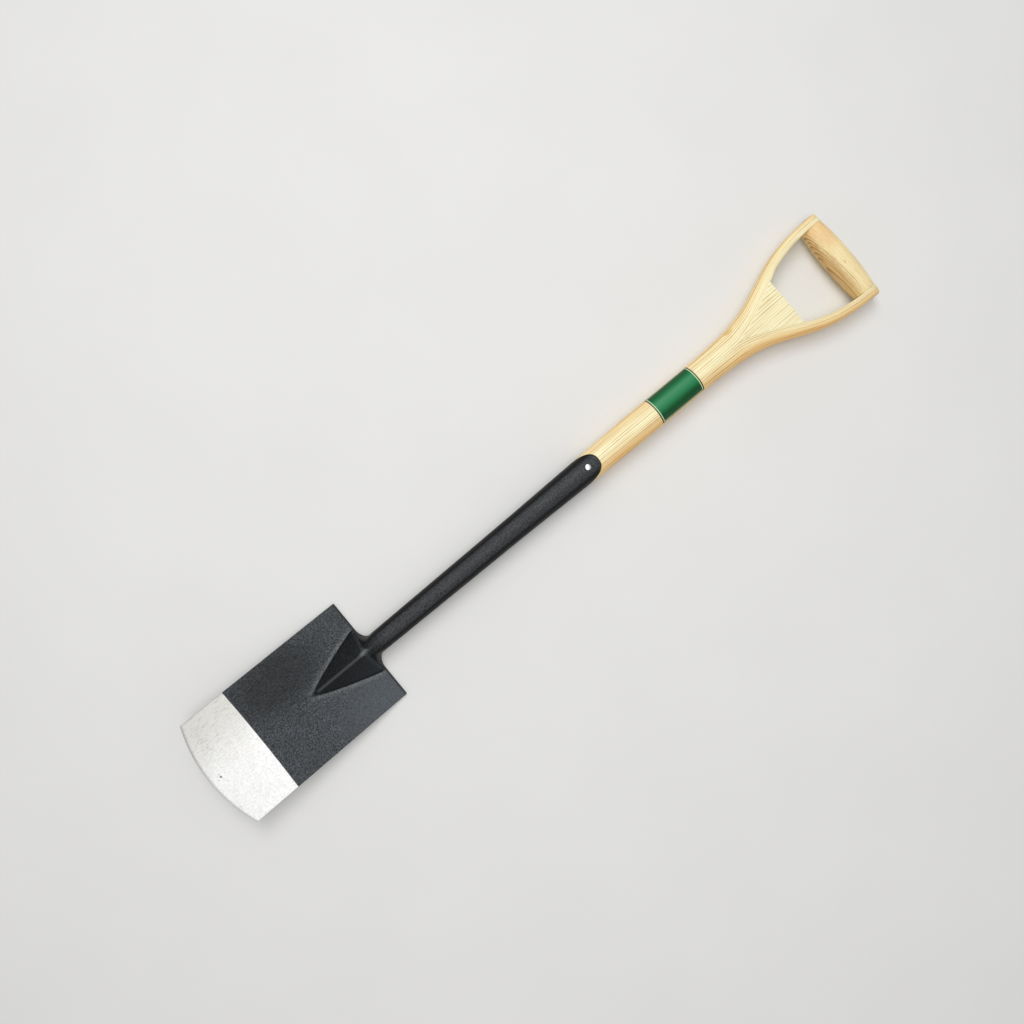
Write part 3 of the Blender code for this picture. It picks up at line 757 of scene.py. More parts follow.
def make_wedge():
    start_x = SPLIT_X
    while fork_inner(start_x) < SNUG:
        start_x += FIT
    rows = []
    for x in steps(start_x, CROTCH_X, FORK_ROWS):
        half_width = fork_inner(x) - GLUE
        rows.append([(x, y) for y in steps(-half_width, half_width, WEDGE_COLUMNS)])
    wedge = slab("wedge", raised(rows, fork_height), raised(rows, lambda x, y: -fork_height(x, y)))
    set_down(wedge, "wedge_filler", wedge_finish(), "yoke_wedge")


# The crossbar, its rod and washers

def rounded_corner(radius, height, round_by):
    """A quarter turn of profile points, from the flat top to the side below it."""
    points = []
    for turn in quarter_turn(ROUND_ROWS):
        inward = round_by * (1.0 - sin(turn))
        points.append((radius - inward, height - round_by * (1.0 - cos(turn))))
    return points


def grip_fibre(x, y, z):
    """The crossbar's grain runs along it, a little askew."""
    return y, x - GRIP_X + GRIP_GRAIN_SLOPE * y, z


def make_grip():
    half = GRIP_LENGTH / 2 + FIT - SNUG
    profile = [(ROD_RADIUS + SNUG, half)] + rounded_corner(GRIP_END_RADIUS, half, GRIP_EDGE)
    for height in steps(half - GRIP_EDGE, 0.0, GRIP_ROWS)[1:]:
        swell = 1.0 - (height / (half - GRIP_EDGE)) ** 2
        profile.append((mix(GRIP_END_RADIUS, GRIP_RADIUS, swell), height))
    profile += mirrored(profile[:-1])
    grip = turned("grip", profile, SIDES, ACROSS_THE_ARMS)
    set_down(grip, "turned_grip", grip_finish(), "crossbar_grip", grip_fibre)


def make_rod():
    under_head = FORK_HALF - WASHER_RECESS + WASHER_THICKNESS + 2.0 * SNUG
    profile = []
    for turn in quarter_turn(ROUND_ROWS):
        height = under_head + ROD_HEAD_HEIGHT * cos(turn)
        profile.append((ROD_HEAD_RADIUS * sin(turn), height))
    profile.append((ROD_RADIUS, under_head))
    profile += mirrored(profile)
    rod = turned("rod", profile, SMALL_SIDES, ACROSS_THE_ARMS)
    set_down(rod, "riveted_rod", steel_finish(), "crossbar_rod")


def make_washer(name, replaced, side):
    seat = FORK_HALF - WASHER_RECESS + SNUG
    bore = ROD_RADIUS + SNUG
    top = seat + WASHER_THICKNESS
    profile = [(bore, top)] + rounded_corner(WASHER_RADIUS, top, WASHER_EDGE)
    profile += [(WASHER_RADIUS, seat), (bore, seat)]
    if side < 0:
        profile = mirrored(profile)
    washer = turned("washer", profile, SMALL_SIDES, ACROSS_THE_ARMS)
    set_down(washer, name, steel_finish(), replaced)


def rod_hole():
    """Through both arms: a recess for the washer, then the rod's own hole."""
    recess = FORK_HALF - WASHER_RECESS
    seat = (WASHER_RADIUS + FIT, recess)
    below = (ROD_RADIUS + FIT, recess)
    return stepped_hole("rod hole", seat, below, FORK_HALF + WASHER_RADIUS, ACROSS_THE_ARMS)


# The rivet through the tongues

def make_rivet():
    surface = socket_radius(RIVET_X)
    profile = []
    for share in steps(0.0, 1.0, ROUND_ROWS):
        profile.append((RIVET_HEAD_RADIUS * share, surface + RIVET_DOME * (1.0 - share ** 3)))
    profile.append((RIVET_RADIUS, surface - SOCKET_WALL))
    profile += mirrored(profile)
    rivet = turned("rivet", profile, SMALL_SIDES, THROUGH_THE_TONGUES)
    set_down(rivet, "tongue_rivet", steel_finish(), "socket_rivet")


def rivet_hole():
    """Through the tongues and the shaft, countersunk in the steel."""
    surface = socket_radius(RIVET_X)
    seat = (RIVET_HEAD_RADIUS + FIT, surface)
    below = (RIVET_RADIUS + FIT, surface - SOCKET_WALL)
    return stepped_hole("rivet hole", seat, below, surface + RIVET_HEAD_RADIUS, THROUGH_THE_TONGUES)


# The label

def label_fibre(x, y, z):
    """On the label: how far along it, how far round it, and the depth of the paper."""
    round_shaft = atan2(y, z) * SHAFT_RADIUS
    return x - TONGUE_TIP_X - LABEL_START, round_shaft, hypot(y, z)


def label_sheet(lift):
    start_x = TONGUE_TIP_X + LABEL_START
    sheet = []
    for x in [start_x + LABEL_LENGTH * along for along in steps(0.0, 1.0, LABEL_ROWS)]:
        radius = shaft_radius(x) + lift
        turns = steps(LABEL_LEFT, -LABEL_RIGHT, LABEL_COLUMNS)
        sheet.append([Vector((x, radius * sin(t), radius * cos(t))) for t in turns])
    return sheet


def make_label():
    label = slab("label", label_sheet(SNUG + LABEL_THICKNESS), label_sheet(SNUG))
    set_down(label, "paper_label", label_finish(), "handle_label", label_fibre)


# Putting finishes together

FLOAT = "NodeSocketFloat"
VECTOR = "NodeSocketVector"
COLOUR = "NodeSocketColor"
IN_MILLIMETRES = (1000.0, 1000.0, 1000.0)


def join(sockets, values):
    """Links or sets sockets, each by its name or number."""
    for name, value in values.items():
        if isinstance(value, bpy.types.NodeSocket):
            value.id_data.links.new(value, sockets[name])
        else:
            sockets[name].default_value = value


def spaced(values):
    """Values by the names of sockets, where an underscore stands for a space."""
    return {name.replace("_", " "): value for name, value in values.items()}


def put_first(tree, kind, **settings):
    """Adds a shader node that nothing leads into yet."""
    made = tree.nodes.new("ShaderNode" + kind)
    for name, value in settings.items():
        setattr(made, name, value)
    return made


def put(kind, inputs, **settings):
    """Adds a shader node to the tree that its linked inputs are in."""
    tree = next(value.id_data for value in inputs.values() if isinstance(value, bpy.types.NodeSocket))
    made = put_first(tree, kind, **settings)
    join(made.inputs, inputs)
    return made


def maths(operation, *values):
    return put("Math", dict(enumerate(values)), operation=operation).outputs[0]


def times(value, *factors):
    for factor in factors:
        value = maths("MULTIPLY", value, factor)
    return value


def times_plus(value, factor, rest):
    return maths("MULTIPLY_ADD", value, factor, rest)


def minus(value, less):
    return maths("SUBTRACT", value, less)


def without_sign(value):
    return maths("ABSOLUTE", value)


def vectors(operation, *values):
    made = put("VectorMath", dict(enumerate(values)), operation=operation)
    return made.outputs["Value" if operation == "LENGTH" else "Vector"]


def parts_of(vector):
    return put("SeparateXYZ", {0: vector}).outputs


def noise(vector, scale, detail=2.0, roughness=0.5):
    inputs = {"Vector": vector, "Scale": scale, "Detail": detail, "Roughness": roughness}
    return put("TexNoise", inputs).outputs["Fac"]


def drawn_noise(vector, along, across, detail=2.0, roughness=0.5):
    """Noise that is drawn out along X, with its scale along and across."""
    drawn = vectors("MULTIPLY", vector, (along, across, across))
    return noise(drawn, 1.0, detail, roughness)


def shaken(value, by_noise, reach):
    """A value moved to and fro by noise, over a reach."""
    return times_plus(minus(by_noise, 0.5), reach, value)


def between(value, low, high, start=0.0, end=1.0):
    """Takes a value from low..high to start..end, eased, and no further."""
    inputs = {"Value": value, "From Min": low, "From Max": high, "To Min": start, "To Max": end}
    made = put("MapRange", inputs, interpolation_type="SMOOTHSTEP")
    return made.outputs["Result"]


def falling(value, low, high):
    return between(value, low, high, 1.0, 0.0)


def window(value, opens, open_from, open_to, shut):
    """1 from one place to another, with a soft start and a soft end."""
    return times(between(value, opens, open_from), falling(value, open_to, shut))


def blended(share, one, two, how="MIX"):
    inputs = {0: share, 6: one, 7: two}
    made = put("Mix", inputs, data_type="RGBA", blend_type=how)
    return made.outputs[2]


def layered(colour, layers, how="MIX"):
    """Lays colours over one another, each by its mask and by how strongly."""
    for mask, strength, over in layers:
        share = mask if strength == 1.0 else times(mask, strength)
        colour = blended(share, colour, over, how)
    return colour


def either(mask, one, two):
    """One value where the mask is 0 and another where it is 1."""
    return put("Mix", {0: mask, 2: one, 3: two}).outputs[0]


def bumped(height, depth):
    return put("Bump", {"Height": height, "Distance": depth}).outputs["Normal"]


def mark(tree, name):
    """A value written on the mesh, read where the surface is shaded."""
    return put_first(tree, "Attribute", attribute_name=name, attribute_type="GEOMETRY").outputs


def new_effect(name, takes, gives):
    """A shared effect: a node group with named sockets, and its two end nodes."""
    tree = bpy.data.node_groups.new(name, "ShaderNodeTree")
    for way, sockets in (("INPUT", takes), ("OUTPUT", gives)):
        for label, kind in sockets.items():
            tree.interface.new_socket(label, in_out=way, socket_type=kind)
    entry = tree.nodes.new("NodeGroupInput").outputs
    leave = tree.nodes.new("NodeGroupOutput").inputs
    return tree, entry, leave


def use(effect, place, **inputs):
    """Adds a shared effect, which takes a place and other inputs by name, and gives its outputs."""
    made = put_first(place.id_data, "Group", node_tree=effect)
    join(made.inputs, {0: place, **spaced(inputs)})
    return made.outputs


def new_finish(name, **settings):
    finish = bpy.data.materials.new(name)
    finish.use_nodes = True
    tree = finish.node_tree
    shader = tree.nodes["Principled BSDF"].inputs
    join(shader, spaced(settings))
    return finish, tree, shader


# Effects that the finishes share

# How dark a year's growth is, from its line of pores to its dense end
YEAR_TONES = ((0.0, 0.75), (0.10, 1.0), (0.26, 0.45), (0.45, 0.10), (0.80, 0.0), (0.97, 0.20), (1.0, 0.75))


def ash_grain_effect():
    """Growth rings of ash: a porous dark line each year, then dense pale wood."""
    takes = {
        "Fibre": VECTOR, "Pith": VECTOR, "Ring Width": FLOAT, "Wander": FLOAT,
        "Pale": COLOUR, "Line": COLOUR, "Heart": COLOUR, "Line Strength": FLOAT, "Heart Share": FLOAT,
    }
    gives = {"Colour": COLOUR, "Pores": FLOAT, "Rings": FLOAT}
    tree, entry, leave = new_effect("ash_grain", takes, gives)
    at = vectors("MULTIPLY", entry["Fibre"], IN_MILLIMETRES)
    from_pith = vectors("SUBTRACT", at, entry["Pith"])
    radius = vectors("LENGTH", vectors("MULTIPLY", from_pith, (0.0, 1.0, 1.0)))
    drift = times_plus(drawn_noise(at, 0.0045, 0.03), entry["Wander"], radius)
    quick = drawn_noise(at, 0.02, 0.16)
    drift = times_plus(quick, times(entry["Wander"], 0.16), drift)
    year = maths("DIVIDE", drift, entry["Ring Width"])
    inputs = {"W": year, "Scale": 0.55, "Detail": 1.0}
    seasons = put("TexNoise", inputs, noise_dimensions="1D").outputs["Fac"]
    phase = maths("FRACT", times_plus(seasons, 1.2, year))
    ring = put("ValToRGB", {"Fac": phase})
    for place, _ in YEAR_TONES[1:-1]:
        ring.color_ramp.elements.new(place)
    for stop, (_, tone) in zip(ring.color_ramp.elements, YEAR_TONES):
        stop.color = (tone, tone, tone, 1.0)
    faint = between(drawn_noise(at, 0.010, 0.22), 0.34, 0.66, 0.30, 1.15)
    rings = times(ring.outputs["Color"], faint)
    fibres = drawn_noise(at, 0.035, 1.6, 3.0, 0.6)
    streaks = drawn_noise(at, 0.009, 0.42, 3.0, 0.6)
    dashes = drawn_noise(at, 0.16, 4.2, 1.0)
    broad = drawn_noise(at, 0.005, 0.055, 3.0, 0.55)
    pores = times(between(dashes, 0.56, 0.68), maths("ADD", rings, 0.15))
    heart = times(between(broad, 0.44, 0.72), entry["Heart Share"])
    tone = shaken(times(rings, entry["Line Strength"]), fibres, 0.45)
    tone = times_plus(pores, 0.25, tone)
    tone = times_plus(between(streaks, 0.46, 0.66), 0.15, tone)
    tone = put("Clamp", {"Value": tone}).outputs[0]
    base = blended(heart, entry["Pale"], entry["Heart"])
    colour = blended(tone, base, entry["Line"])
    join(leave, {"Colour": colour, "Pores": pores, "Rings": rings})
    return tree


def stain_effect():
    """A soft-edged patch with a ragged outline, longer along one way than the other."""
    takes = {"Place": VECTOR, "Centre": VECTOR, "Reach": VECTOR, "Raggedness": FLOAT}
    tree, entry, leave = new_effect("stain", takes, {"Mask": FLOAT})
    off = vectors("SUBTRACT", entry["Place"], entry["Centre"])
    away = vectors("LENGTH", vectors("DIVIDE", off, entry["Reach"]))
    ragged = minus(drawn_noise(entry["Place"], 120.0, 700.0), 0.5)
    away = times_plus(times(ragged, entry["Raggedness"]), 2.0, away)
    join(leave, {"Mask": falling(away, 0.35, 1.0)})
    return tree


def side_shade_effect():
    """Painted shade: where the wood is tinted darker and warmer towards its two sides, away from its top.
    """
    gives = {"Near Side": FLOAT, "Far Side": FLOAT}
    tree, entry, leave = new_effect("painted_side_shade", {"Fibre": VECTOR}, gives)
    at = vectors("MULTIPLY", entry["Fibre"], IN_MILLIMETRES)
    ragged = drawn_noise(at, 0.012, 0.12, 3.0, 0.6)
    across = shaken(parts_of(at)["Y"], ragged, 9.0)
    sides = {"Near Side": falling(across, -17.0, 1.0), "Far Side": between(across, 4.5, 20.0)}
    join(leave, sides)
    return tree


def orange_peel_effect():
    """The fine dimples of sprayed coat, paper and peened metal."""
    takes = {"Place": VECTOR, "Dimple": FLOAT}
    tree, entry, leave = new_effect("orange_peel", takes, {"Height": FLOAT, "Fleck": FLOAT})
    count = maths("DIVIDE", 1000.0, entry["Dimple"])
    dimples = noise(entry["Place"], count, 2.0, 0.6)
    flecks = noise(entry["Place"], times(count, 0.8), 3.0, 0.75)
    join(leave, {"Height": dimples, "Fleck": between(flecks, 0.36, 0.66)})
    return tree


def handling_effect():
    """Broad faint smudges, from hands and from dust, and fine scuffs in them."""
    takes = {"Place": VECTOR, "Size": FLOAT}
    tree, entry, leave = new_effect("handling", takes, {"Smudge": FLOAT, "Scuff": FLOAT})
    count = maths("DIVIDE", 1000.0, entry["Size"])
    smudge = noise(entry["Place"], count, 4.0, 0.6)
    scuff = between(drawn_noise(entry["Place"], 60.0, 900.0, 2.0, 0.7), 0.64, 0.72)
    scuff = times(scuff, between(smudge, 0.50, 0.62))
    join(leave, {"Smudge": smudge, "Scuff": scuff})
    return tree


def arris_wear_effect():
    """Where an arris is rubbed: worn along it, in broken patches."""
    takes = {"Place": VECTOR, "Arris": FLOAT, "Amount": FLOAT}
    tree, entry, leave = new_effect("arris_wear", takes, {"Mask": FLOAT})
    worn = shaken(entry["Arris"], noise(entry["Place"], 260.0, 3.0, 0.65), 1.2)
    join(leave, {"Mask": times(between(worn, 0.55, 1.05), entry["Amount"])})
    return tree


ASH_GRAIN = ash_grain_effect()
STAIN = stain_effect()
SIDE_SHADE = side_shade_effect()
ORANGE_PEEL = orange_peel_effect()
HANDLING = handling_effect()
ARRIS_WEAR = arris_wear_effect()


def stained(place, centre, reach, raggedness):
    return use(STAIN, place, Centre=centre, Reach=reach, Raggedness=raggedness)["Mask"]


def handled(tree, smudges, wear):
    """Place, nearness to an arris, marks of hands, and where the arrises are worn."""
    place = mark(tree, "place")["Vector"]
    arris = mark(tree, "arris")["Fac"]
    hands = use(HANDLING, place, Size=smudges)
    worn = use(ARRIS_WEAR, place, Arris=arris, Amount=wear)["Mask"]
    return place, arris, hands, worn


# The finish of the head

# Coats as they look in their pits and on their grain
FRESH_COAT = linear(8, 9, 10), linear(46, 50, 53)
# The blade's coat under dust, made lighter also as a painted sheen
DUST_AND_SHEEN_COAT = linear(22, 25, 27), linear(97, 103, 108)
# The coat along the socket's top, made lighter as a painted highlight
SOCKET_TOP_SHEEN_COAT = linear(46, 47, 49), linear(78, 79, 82)

# Tones that lie over the coat: painted sheen, highlights and shade, and rubbed arrises
SHEEN_GREY = linear(86, 92, 98)
RIM_HIGHLIGHT = linear(114, 117, 119)
DEEP_BLACK = linear(4, 4, 4)
CREASE_SHADE_BLACK = linear(3, 3, 3)
CREST_HIGHLIGHT = linear(78, 81, 80)
BOSS_HIGHLIGHT = linear(122, 126, 126)
RUBBED_ARRIS = linear(96, 99, 102)

# Tones of the bare edge
BRIGHT_STEEL = linear(231, 231, 230)
GROUND_STEEL = linear(210, 210, 208)
CLOUDED_STEEL = linear(208, 204, 199)
SHADED_SIDE_STEEL = linear(184, 182, 176)
STREAKED_STEEL = linear(150, 148, 142)
SCUFFED_STEEL = linear(160, 160, 160)
PITTED_STEEL = linear(84, 80, 74)

# Marks, each with its centre, its reach and how ragged it is
# A patch of the blade with less dust and less painted sheen
DIMMER_BLADE_PATCH = (0.130, 0.042, 0.0), (0.085, 0.048, 0.05), 0.30
# A painted highlight on the boss, where the ridge meets the neck
BOSS = (0.232, 0.0010, 0.010), (0.008, 0.0045, 0.02), 0.9
DARK_TIP = (RIDGE_TIP_X + 0.0010, 0.0, -0.006), (0.0055, 0.0045, 0.02), 0.6
NICK = (0.0135, -0.0045, 0.010), (0.0016, 0.0022, 0.02), 0.4


def ridge_marks(along, across):
    """On the head: the V's flanks, their creases and crest, and the blade's rim beside the V."""
    inputs = {"Value": along, "From Min": RIDGE_TIP_X, "From Max": FLANK_END_X}
    share = put("MapRange", inputs).outputs["Result"]
    swell = maths("POWER", share, RIDGE_FULLNESS)
    widening = (RIDGE_WIDTH - RIDGE_TIP_WIDTH) / 2
    foot = times_plus(swell, widening, RIDGE_TIP_WIDTH / 2)
    off_centre = without_sign(across)
    beyond = minus(off_centre, foot)
    on_v = window(along, RIDGE_TIP_X - 0.001, RIDGE_TIP_X + 0.002,
                  FLANK_END_X, FLANK_END_X + RIDGE_CORNER)
    by_v = window(along, RIDGE_TIP_X - 0.008, RIDGE_TIP_X, FLANK_END_X, SHOULDER_X + 0.001)
    flank = times(on_v, falling(beyond, -0.0010, 0.0))
    # The blade's rim beside the V, which takes a painted highlight, broken by flecks
    rim = times(by_v, window(beyond, -0.0004, 0.0006, 0.0010, 0.0075))
    # The creases at the foot of the flanks, which take painted shade
    crease = times(on_v, window(beyond, -0.0038, -0.0008, -0.0004, 0.0006))
    # The crest of the ridge, which takes a painted highlight
    crest = times(falling(off_centre, 0.0010, 0.0024),
                  between(along, RIDGE_TIP_X + 0.004, RIDGE_TIP_X + 0.012),
                  falling(along, SHOULDER_X, SHOULDER_X + 0.012))
    return flank, crease, crest, rim


def coat_colour(place, at, arris, peel, hands, worn):
    """Dust with painted sheen on the blade, painted highlights on the socket's top and on the V's crest,
    rim and boss, painted shade in the V, its creases, its arrises and down the socket's sides, and rubbed
    arrises.
    """
    along, across = at["X"], at["Y"]
    flank, crease, crest, rim = ridge_marks(along, across)

    def flecked(pits, grain):
        return blended(peel["Fleck"], pits, grain)

    on_blade = between(along, SHOULDER_X + 0.002, SHOULDER_X - 0.004)
    # Dust on the blade, which also paints in the sheen of its flat coat
    dust = times(on_blade, minus(1.0, flank),
                 between(hands["Smudge"], 0.25, 0.75, 0.40, 0.80),
                 times_plus(stained(place, *DIMMER_BLADE_PATCH), -0.9, 1.0))
    # Painted shade down the steep sides of the neck and socket, and a painted highlight along their top
    steepness = maths("DIVIDE", without_sign(across), maths("MAXIMUM", at["Z"], 0.001))
    facing_up = falling(steepness, 0.48, 1.05)
    behind = between(along, SHOULDER_X - 0.003, SHOULDER_X + 0.002)
    painted_shade_sides = times(behind, times_plus(facing_up, -0.95, 0.95))
    painted_top_sheen = times(facing_up, between(along, SHOULDER_X + 0.004, SHOULDER_X + 0.040))
    # Painted sheen on the blade, brighter towards its -Y side and towards the shoulder
    one_side_sheen = times(on_blade, between(across, 0.010, -0.060),
                 between(along, 0.120, 0.220, 0.05, 0.55))
    broken = times_plus(peel["Fleck"], 0.7, 0.15)
    # Painted shade: the V's flanks darkened, and the socket's sides blacked
    painted_shade = maths("MAXIMUM", times(flank, 0.35), painted_shade_sides)
    # Painted shade: dark lines in the creases and along the sharp arrises
    lined = maths("MAXIMUM", crease, between(arris, 0.50, 0.90))
    coat = blended(dust, flecked(*FRESH_COAT), flecked(*DUST_AND_SHEEN_COAT))
    return layered(coat, (
        (painted_top_sheen, 0.68, flecked(*SOCKET_TOP_SHEEN_COAT)),
        (one_side_sheen, 1.0, SHEEN_GREY),
        (rim, broken, RIM_HIGHLIGHT),
        (painted_shade, 1.0, DEEP_BLACK),
        (lined, 0.85, CREASE_SHADE_BLACK),
        (crest, 0.60, CREST_HIGHLIGHT),
        (stained(place, *DARK_TIP), 0.70, DEEP_BLACK),
        (stained(place, *BOSS), broken, BOSS_HIGHLIGHT),
        (worn, 1.0, RUBBED_ARRIS),
        (hands["Scuff"], 0.25, RUBBED_ARRIS),
    ))


def steel_colour(place, at, ground, hands):
    """Bright and finely ground, greyed by painted shade and streaked towards its +Y side, and pitted at
    the edge.
    """
    clouds = between(noise(place, 60.0, 3.0, 0.6), 0.35, 0.70)
    shaded_side = between(at["Y"], -0.020, 0.062, 0.0, 0.75)
    drawn = between(drawn_noise(place, 70.0, 620.0, 3.0, 0.6), 0.54, 0.68)
    to_edge = falling(at["X"], 0.0, 0.022)
    pits = times(between(noise(place, 420.0, 1.0), 0.74, 0.80),
                 times_plus(to_edge, 0.7, 0.3))
    pits = maths("MAXIMUM", pits, stained(place, *NICK))
    steel = blended(between(ground, 0.32, 0.68), BRIGHT_STEEL, GROUND_STEEL)
    return layered(steel, (
        (clouds, 0.25, CLOUDED_STEEL),
        (shaded_side, 1.0, SHADED_SIDE_STEEL),
        (times(drawn, shaded_side), 0.75, STREAKED_STEEL),
        (hands["Scuff"], 0.25, SCUFFED_STEEL),
        (pits, 1.0, PITTED_STEEL),
    ))


def head_finish():
    """Satin black powder coat, masked off straight across to leave the ground edge bright."""
    finish, tree, shader = new_finish("powder_coat_and_bright_edge", Specular_IOR_Level=0.20)
    place, arris, hands, worn = handled(tree, smudges=26.0, wear=0.25)
    at = parts_of(place)
    peel = use(ORANGE_PEEL, place, Dimple=1.45)
    ground = noise(place, 420.0, 4.0, 0.75)
    masked = times_plus(noise(place, 900.0), 0.0005, at["X"])
    coated = between(masked, GROUND_LENGTH - 0.0002, GROUND_LENGTH + 0.0006)
    steel = steel_colour(place, at, ground, hands)
    coat = coat_colour(place, at, arris, peel, hands, worn)
    steel_rough = between(ground, 0.3, 0.7, 0.40, 0.48)
    coat_rough = between(hands["Smudge"], 0.3, 0.7, 0.42, 0.52)
    height = times_plus(coated, 1.5, either(coated, ground, peel["Height"]))
    join(shader, {
        "Base Color": blended(coated, steel, coat),
        "Metallic": times(minus(1.0, coated), 0.7),
        "Roughness": either(coated, steel_rough, coat_rough),
        "Normal": bumped(height, depth=0.00009),
    })
    return finish


# The finishes of the wood, with tints that multiply its colour

GRUBBY = linear(240, 226, 202)
RUBBED_DARK = linear(206, 172, 124)
LOWER_SIDE_ORANGE = linear(240, 200, 140)
# Tints of painted shade for the near and far sides of the wood
SIDE_SHADE_TINTS = linear(255, 224, 188), linear(255, 232, 206)
FAINT_BROWN = linear(226, 192, 150)
BROWN = linear(216, 180, 132)
GOLDEN = linear(250, 228, 214)


def wood_finish(name, tones, rings, stains=(), shade_tints=(), lined=None):
    """Sanded and lightly oiled ash. A stain is a centre, reach, raggedness, strength and tint.
    The lines of the grain fade across the wood, from the first place in lined to the second."""
    finish, tree, shader = new_finish(name, Specular_IOR_Level=0.40)
    hands, worn = handled(tree, smudges=34.0, wear=0.30)[2:]
    fibre = mark(tree, "fibre")["Vector"]
    if lined:
        strength = rings["Line_Strength"]
        rings["Line_Strength"] = between(parts_of(fibre)["Y"], *lined, strength, strength * 0.2)
    wood = use(ASH_GRAIN, fibre, **tones, **rings)
    # Painted shade down both sides of the wood
    sides = use(SIDE_SHADE, fibre) if shade_tints else ()
    tints = [(side, 1.0, tint) for side, tint in zip(sides, shade_tints)]
    for *patch, strength, tint in stains:
        tints.append((stained(fibre, *patch), strength, tint))
    tints.append((between(hands["Smudge"], 0.42, 0.78, 0.0, 0.22), 1.0, GRUBBY))
    tints.append((worn, 1.0, RUBBED_DARK))
    oiled = between(hands["Smudge"], 0.3, 0.7, 0.44, 0.54)
    height = times_plus(wood["Rings"], -0.35, times(wood["Pores"], -1.0))
    join(shader, {
        "Base Color": layered(wood["Colour"], tints, "MULTIPLY"),
        "Roughness": times_plus(wood["Pores"], 0.12, oiled),
        "Normal": bumped(height, depth=0.00008),
    })
    return finish


def shaft_finish():
    tones = dict(Pale=linear(255, 250, 205), Line=linear(206, 166, 112), Heart=linear(246, 218, 160))
    rings = dict(Pith=(0.0, -95.0, 20.0), Ring_Width=2.5, Wander=3.0, Line_Strength=0.80, Heart_Share=0.40)
    stains = (
        # Orange down the lower side of the shaft and of the lower arm
        ((0.640, -0.0150, 0.008), (0.085, 0.0060, 0.010), 0.5, 0.25, LOWER_SIDE_ORANGE),
        ((0.850, -0.0165, 0.006), (0.130, 0.0070, 0.014), 0.5, 0.30, LOWER_SIDE_ORANGE),
        ((0.817, 0.0145, 0.0112), (0.009, 0.0030, 0.008), 0.8, 0.6, FAINT_BROWN),
    )
    return wood_finish("pale_ash_grain", tones, rings, stains, SIDE_SHADE_TINTS)


def wedge_finish():
    tones = dict(Pale=linear(255, 248, 204), Line=linear(204, 168, 112), Heart=linear(246, 224, 172))
    rings = dict(Pith=(0.0, 60.0, 95.0), Ring_Width=1.7, Wander=1.6, Line_Strength=0.70, Heart_Share=0.3)
    return wood_finish("filler_ash_grain", tones, rings)


def grip_finish():
    """The crossbar's wood is brown and close-lined on the blade's side, and pale on the other."""
    tones = dict(Pale=linear(252, 233, 178), Line=linear(168, 112, 62), Heart=linear(242, 208, 148))
    rings = dict(Pith=(0.0, 40.0, 0.0), Ring_Width=1.3, Wander=3.0, Line_Strength=0.72, Heart_Share=0.5)
    stains = (
        ((0.0, -0.0175, 0.002), (0.090, 0.0115, 0.030), 0.4, 0.65, BROWN),
        ((0.046, 0.0020, 0.012), (0.042, 0.0190, 0.024), 0.4, 0.75, GOLDEN),
        ((-0.0070, -0.0040, 0.016), (0.0045, 0.0014, 0.010), 0.6, 0.60, BROWN),
    )
    return wood_finish("golden_ash_grain", tones, rings, stains, lined=(-0.0105, -0.0035))


# The finishes of the small steel and of the label

PLAIN_STEEL = linear(222, 222, 220)
HANDLED_STEEL = linear(192, 191, 188)
RUBBED_STEEL = linear(246, 246, 245)
LABEL_GREENS = linear(2, 72, 30), linear(6, 82, 38)
SHEEN_GREEN = linear(40, 138, 86)
BORDER_GREEN = linear(4, 44, 20)
RULE_CREAM = linear(222, 236, 188)
TORN_PAPER = linear(196, 206, 176)


def steel_finish():
    """Plain steel, peened over at its heads. Rod, washers and rivet share it."""
    shared = bpy.data.materials.get("peened_steel")
    if shared:
        return shared
    finish, tree, shader = new_finish("peened_steel")
    place, _, hands, worn = handled(tree, smudges=6.0, wear=0.5)
    peel = use(ORANGE_PEEL, place, Dimple=2.2)
    colour = blended(between(hands["Smudge"], 0.35, 0.7), PLAIN_STEEL, HANDLED_STEEL)
    join(shader, {
        "Base Color": blended(worn, colour, RUBBED_STEEL),
        "Metallic": between(peel["Fleck"], 0.0, 1.0, 0.95, 0.85),
        "Roughness": between(hands["Smudge"], 0.3, 0.7, 0.28, 0.42),
        "Normal": bumped(peel["Height"], depth=0.00012),
    })
    return finish


def label_finish():
    """A green printed sticker with a fine cream rule round its border, and a painted highlight along its
    top.
    """
    finish, tree, shader = new_finish("green_label_paper", Specular_IOR_Level=0.30)
    place, _, hands, torn = handled(tree, smudges=12.0, wear=0.08)
    peel = use(ORANGE_PEEL, place, Dimple=0.8)
    on_label = parts_of(mark(tree, "fibre")["Vector"])
    along, around = on_label["X"], on_label["Y"]
    to_ends = maths("MINIMUM", along, minus(LABEL_LENGTH, along))
    to_sides = maths("MINIMUM", minus(LABEL_LEFT * SHAFT_RADIUS, around),
                     maths("ADD", LABEL_RIGHT * SHAFT_RADIUS, around))
    to_border = maths("MINIMUM", to_ends, to_sides)
    off_rule = without_sign(minus(to_border, LABEL_RULE_INSET))
    rule = falling(off_rule, LABEL_RULE_WIDTH / 2, LABEL_RULE_WIDTH / 2 + 0.00015)
    # A painted highlight: lighter green along the top of the label
    off_sheen_line = without_sign(minus(around, LABEL_SHEEN_LINE))
    label_sheen = between(off_sheen_line, 0.003, 0.014, 0.8, 0.0)
    outside = between(to_border, LABEL_RULE_INSET - 0.0004, LABEL_RULE_INSET, 0.8, 0.0)
    green = blended(between(hands["Smudge"], 0.3, 0.75), *LABEL_GREENS)
    join(shader, {
        "Base Color": layered(green, (
            (label_sheen, 1.0, SHEEN_GREEN),
            (outside, 1.0, BORDER_GREEN),
            (rule, 0.95, RULE_CREAM),
            (torn, 1.0, TORN_PAPER),
        )),
        "Roughness": between(peel["Fleck"], 0.0, 1.0, 0.34, 0.42),
        "Normal": bumped(peel["Height"], depth=0.00004),
    })
    return finish


# The floor, the light and the camera

